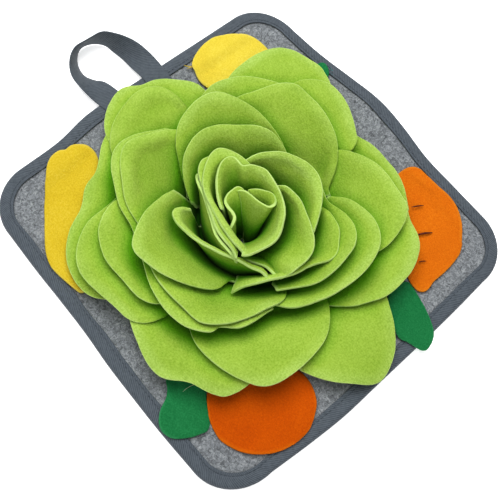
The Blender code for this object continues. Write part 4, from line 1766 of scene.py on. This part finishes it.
def trim_patches() -> list[tuple[FleecePatch, tuple[Strand, ...], Optional[ThreadFinish]]]:
    """List the fruit and the leaves that are sewn round the rose.

    Returns:
        Each patch, the threads that show on it and their finish.
    """
    banana = FleeceFinish("golden_brushed_fleece", "#CBAF2B", "#D7BE36", "#E0CA50", "#E4D165", tuft=1.1)
    lemon = FleeceFinish("lemon_brushed_fleece", "#D8C143", "#E2CE4D", "#E8D762", "#E8DA74", tuft=1.1)
    carrot = FleeceFinish("carrot_brushed_fleece", "#CC6C0F", "#D87812", "#E1871C", "#E2902A", tuft=1.1)
    orange = FleeceFinish("orange_brushed_fleece", "#BA5300", "#C65C00", "#D16804", "#DD7D12", tuft=1.1)
    leaf = FleeceFinish("leaf_brushed_fleece", "#1D7343", "#277F4C", "#358E59", "#479E69", tuft=1.1)
    dark_thread = ThreadFinish("carrot_marking_thread", "#4A1A0C", "#6E2A12")
    lemon_thread = ThreadFinish("lemon_sewing_thread", "#C9AE3C", "#D8C25C")
    pale_thread = ThreadFinish("pale_sewing_thread", "#A9B08E", "#C4C8B0")
    teal_thread = ThreadFinish("blue_green_sewing_thread", "#3F6E74", "#5F8C8E")
    return [
        (FleecePatch("banana_patch", "fruit_banana", Slot.BANANA, banana, (
            (-152.5, 46.2), (-150.6, 49), (-144, 51.9), (-136.1, 51.5), (-130, 47.4), (-125.6, 38.4),
            (-122.7, 23.3), (-119.9, 2.6), (-118, -21.7), (-117.3, -43.1), (-117.5, -57.2),
            (-120.2, -64.4), (-121.9, -67.6), (-124, -68.5), (-128, -66.6), (-134.6, -61.9),
            (-142.9, -55.7), (-149.8, -49.4), (-154.2, -40.4), (-157.5, -25.6), (-160.2, -12.2),
            (-162.3, 2.4), (-164.3, 20.5), (-164.5, 33.2), (-161.8, 40.4), (-157, 45.1)),
            creases=(Crease((-155.5, 50), (-148.5, 43), 1.1, 1.0),
                     Crease((-128, 46), (-124, 22), 0.8, 3.0))),
         (), None),
        (FleecePatch("lemon_patch", "fruit_lemon", Slot.LEMON, lemon, (
            (-62.2, 133), (-61.4, 137.9), (-59.8, 143.4), (-56.7, 149.8), (-53, 155.4), (-49.2, 159.3),
            (-44.4, 162.7), (-39.5, 165), (-33.7, 166.9), (-27, 168.1), (-18.4, 168.4), (-10.6, 166.7),
            (-3.5, 162.1), (2.1, 155), (3.6, 144.5), (-3.1, 132.1), (-14.9, 121.2), (-28.5, 113.9),
            (-40.7, 112.4), (-50.2, 116.5), (-56.1, 122.3), (-59.6, 128.5)),
            creases=(Crease((-64, 134.5), (-18, 130), 0.5, 1.2),
                     Crease((-60, 129), (-24, 125), 0.4, 1.4))),
         (Strand((-60.5, 132.2, 7.6), (-68.5, 132.6, 7.0), 0.45, 0.8),
          Strand((-61, 130.5, 7.5), (-65.5, 129.4, 6.9), 0.35, -0.6)), lemon_thread),
        (FleecePatch("carrot_patch", "fruit_carrot", Slot.CARROT, carrot, (
            (112.8, 53.3), (118.1, 58.5), (122.4, 60.4), (126.6, 61.1), (130.3, 60.1), (136.5, 54.7),
            (146.1, 46.6), (154.6, 39.5), (160.8, 30.2), (164.5, 19.4), (165.7, 6.1), (164.4, -7),
            (159, -16.1), (151.7, -25.3), (142.5, -34.1), (134.6, -42.8), (131.5, -43.1), (126, -38.8),
            (120.4, -28.1), (115.6, -14.7), (112.2, 5.7), (110.3, 31), (110.2, 44.9)),
            creases=(Crease((122, 57), (154, 30), -0.9, 1.6), Crease((124, 52), (150, 30), 0.7, 2.2),
                     Crease((124, 25.4), (135, 28.2), 0.8, 1.2), Crease((128, 2.2), (142, 5.9), 0.9, 1.2),
                     Crease((128, -20), (137, -18), 0.7, 1.2))),
         (Strand((123.5, 25.2, 8.3), (134.2, 27.9, 8.0), 0.55, 0.3),
          Strand((127.5, 2.0, 8.2), (141.2, 5.6, 7.9), 0.75, 0.6),
          Strand((129.5, -19.8, 8.2), (136, -18.4, 8.0), 0.45, 0.3)), dark_thread),
        (FleecePatch("orange_patch", "fruit_orange", Slot.ORANGE, orange, (
            (-24.5, -137.7), (-22.6, -147.3), (-19.3, -155.4), (-14.1, -162.6), (-6.5, -168.1),
            (2.2, -171.5), (12.2, -172.6), (22.1, -171.7), (30.5, -169.1), (38.8, -164.7),
            (46.3, -158.3), (51.7, -150.5), (54.5, -141.2), (54.6, -131.3), (52.3, -122.8),
            (47.9, -116), (41, -110.7), (30.4, -107.2), (13.4, -106.5), (-4, -110.1), (-17.2, -118.5),
            (-23.6, -128.4)),
            creases=(Crease((9, -118), (11, -162), 0.5, 1.6),)), (), None),
        (FleecePatch("lower_leaf_patch", "leaf_lower", Slot.LEAF, leaf, (
            (-55, -124.6), (-53.5, -131.6), (-53.5, -138), (-55.3, -144.4), (-56.8, -150.1),
            (-56.6, -156.3), (-53.3, -162.5), (-47.6, -165.9), (-40.6, -166.1), (-33, -164.5),
            (-26.9, -161.9), (-22.2, -159.4), (-20.7, -156.2), (-22.2, -147.3), (-24.2, -137.7),
            (-26, -129.3), (-30.7, -122.6), (-39.8, -118.3), (-49.8, -119.1)), facets=26),
         (Strand((-42, -133.8, 10.5), (-29.5, -127.5, 14.5), 0.22, 1.6),), pale_thread),
        (FleecePatch("right_leaf_patch", "leaf_right", Slot.LEAF, leaf, (
            (122.5, -35.8), (126.6, -40.5), (129.6, -45.1), (132.3, -51.2), (135.8, -58.1),
            (139.3, -65.4), (141.3, -72.9), (140.8, -79.1), (138.4, -84.6), (135.4, -88.3),
            (132.3, -88.9), (128.1, -87.4), (122, -84.1), (115.1, -80.9), (112, -75.5), (108.8, -65),
            (106.3, -52.8), (109.3, -42.3), (115.5, -36.5)),
            creases=(Crease((111, -48), (124, -66), 0.9, 1.3), Crease((112, -62), (119, -46), 0.8, 1.2)),
            facets=26), (), None),
        (FleecePatch("upper_leaf_patch", "leaf_upper", Slot.LEAF, leaf, (
            (44, 146.8), (46.8, 147.8), (49.5, 146.6), (51.6, 143.2), (52.6, 138.6), (51.6, 133.6),
            (47.4, 131), (42.4, 132.8), (39.6, 139.2), (40.6, 144.6)), facets=18),
         (Strand((51.5, 146.5, 8.2), (58.5, 138.5, 7.2), 0.3, 0.6),
          Strand((53.5, 142.5, 8.0), (57.5, 142.8, 7.2), 0.25, -0.4),
          Strand((53.8, 140, 8.0), (58, 134.6, 7.0), 0.25, 0.7)), teal_thread),
    ]


def main() -> None:
    """Build the mat piece by piece and set up the studio."""
    logging.basicConfig(level=logging.INFO, format="%(name)s: %(message)s")
    plan = MatPlan()
    FeltBase(plan).build()
    EdgeBinding(plan).build()
    HangingLoop().build()
    for patch, strands, thread in trim_patches():
        patch.build(plan, strands, thread)
    Rose(FleeceFinish("green_brushed_fleece", "#96B54E", "#ABC763", "#BDD578", "#CDE697")).build()
    Studio().build()


if __name__ == "__main__":
    main()
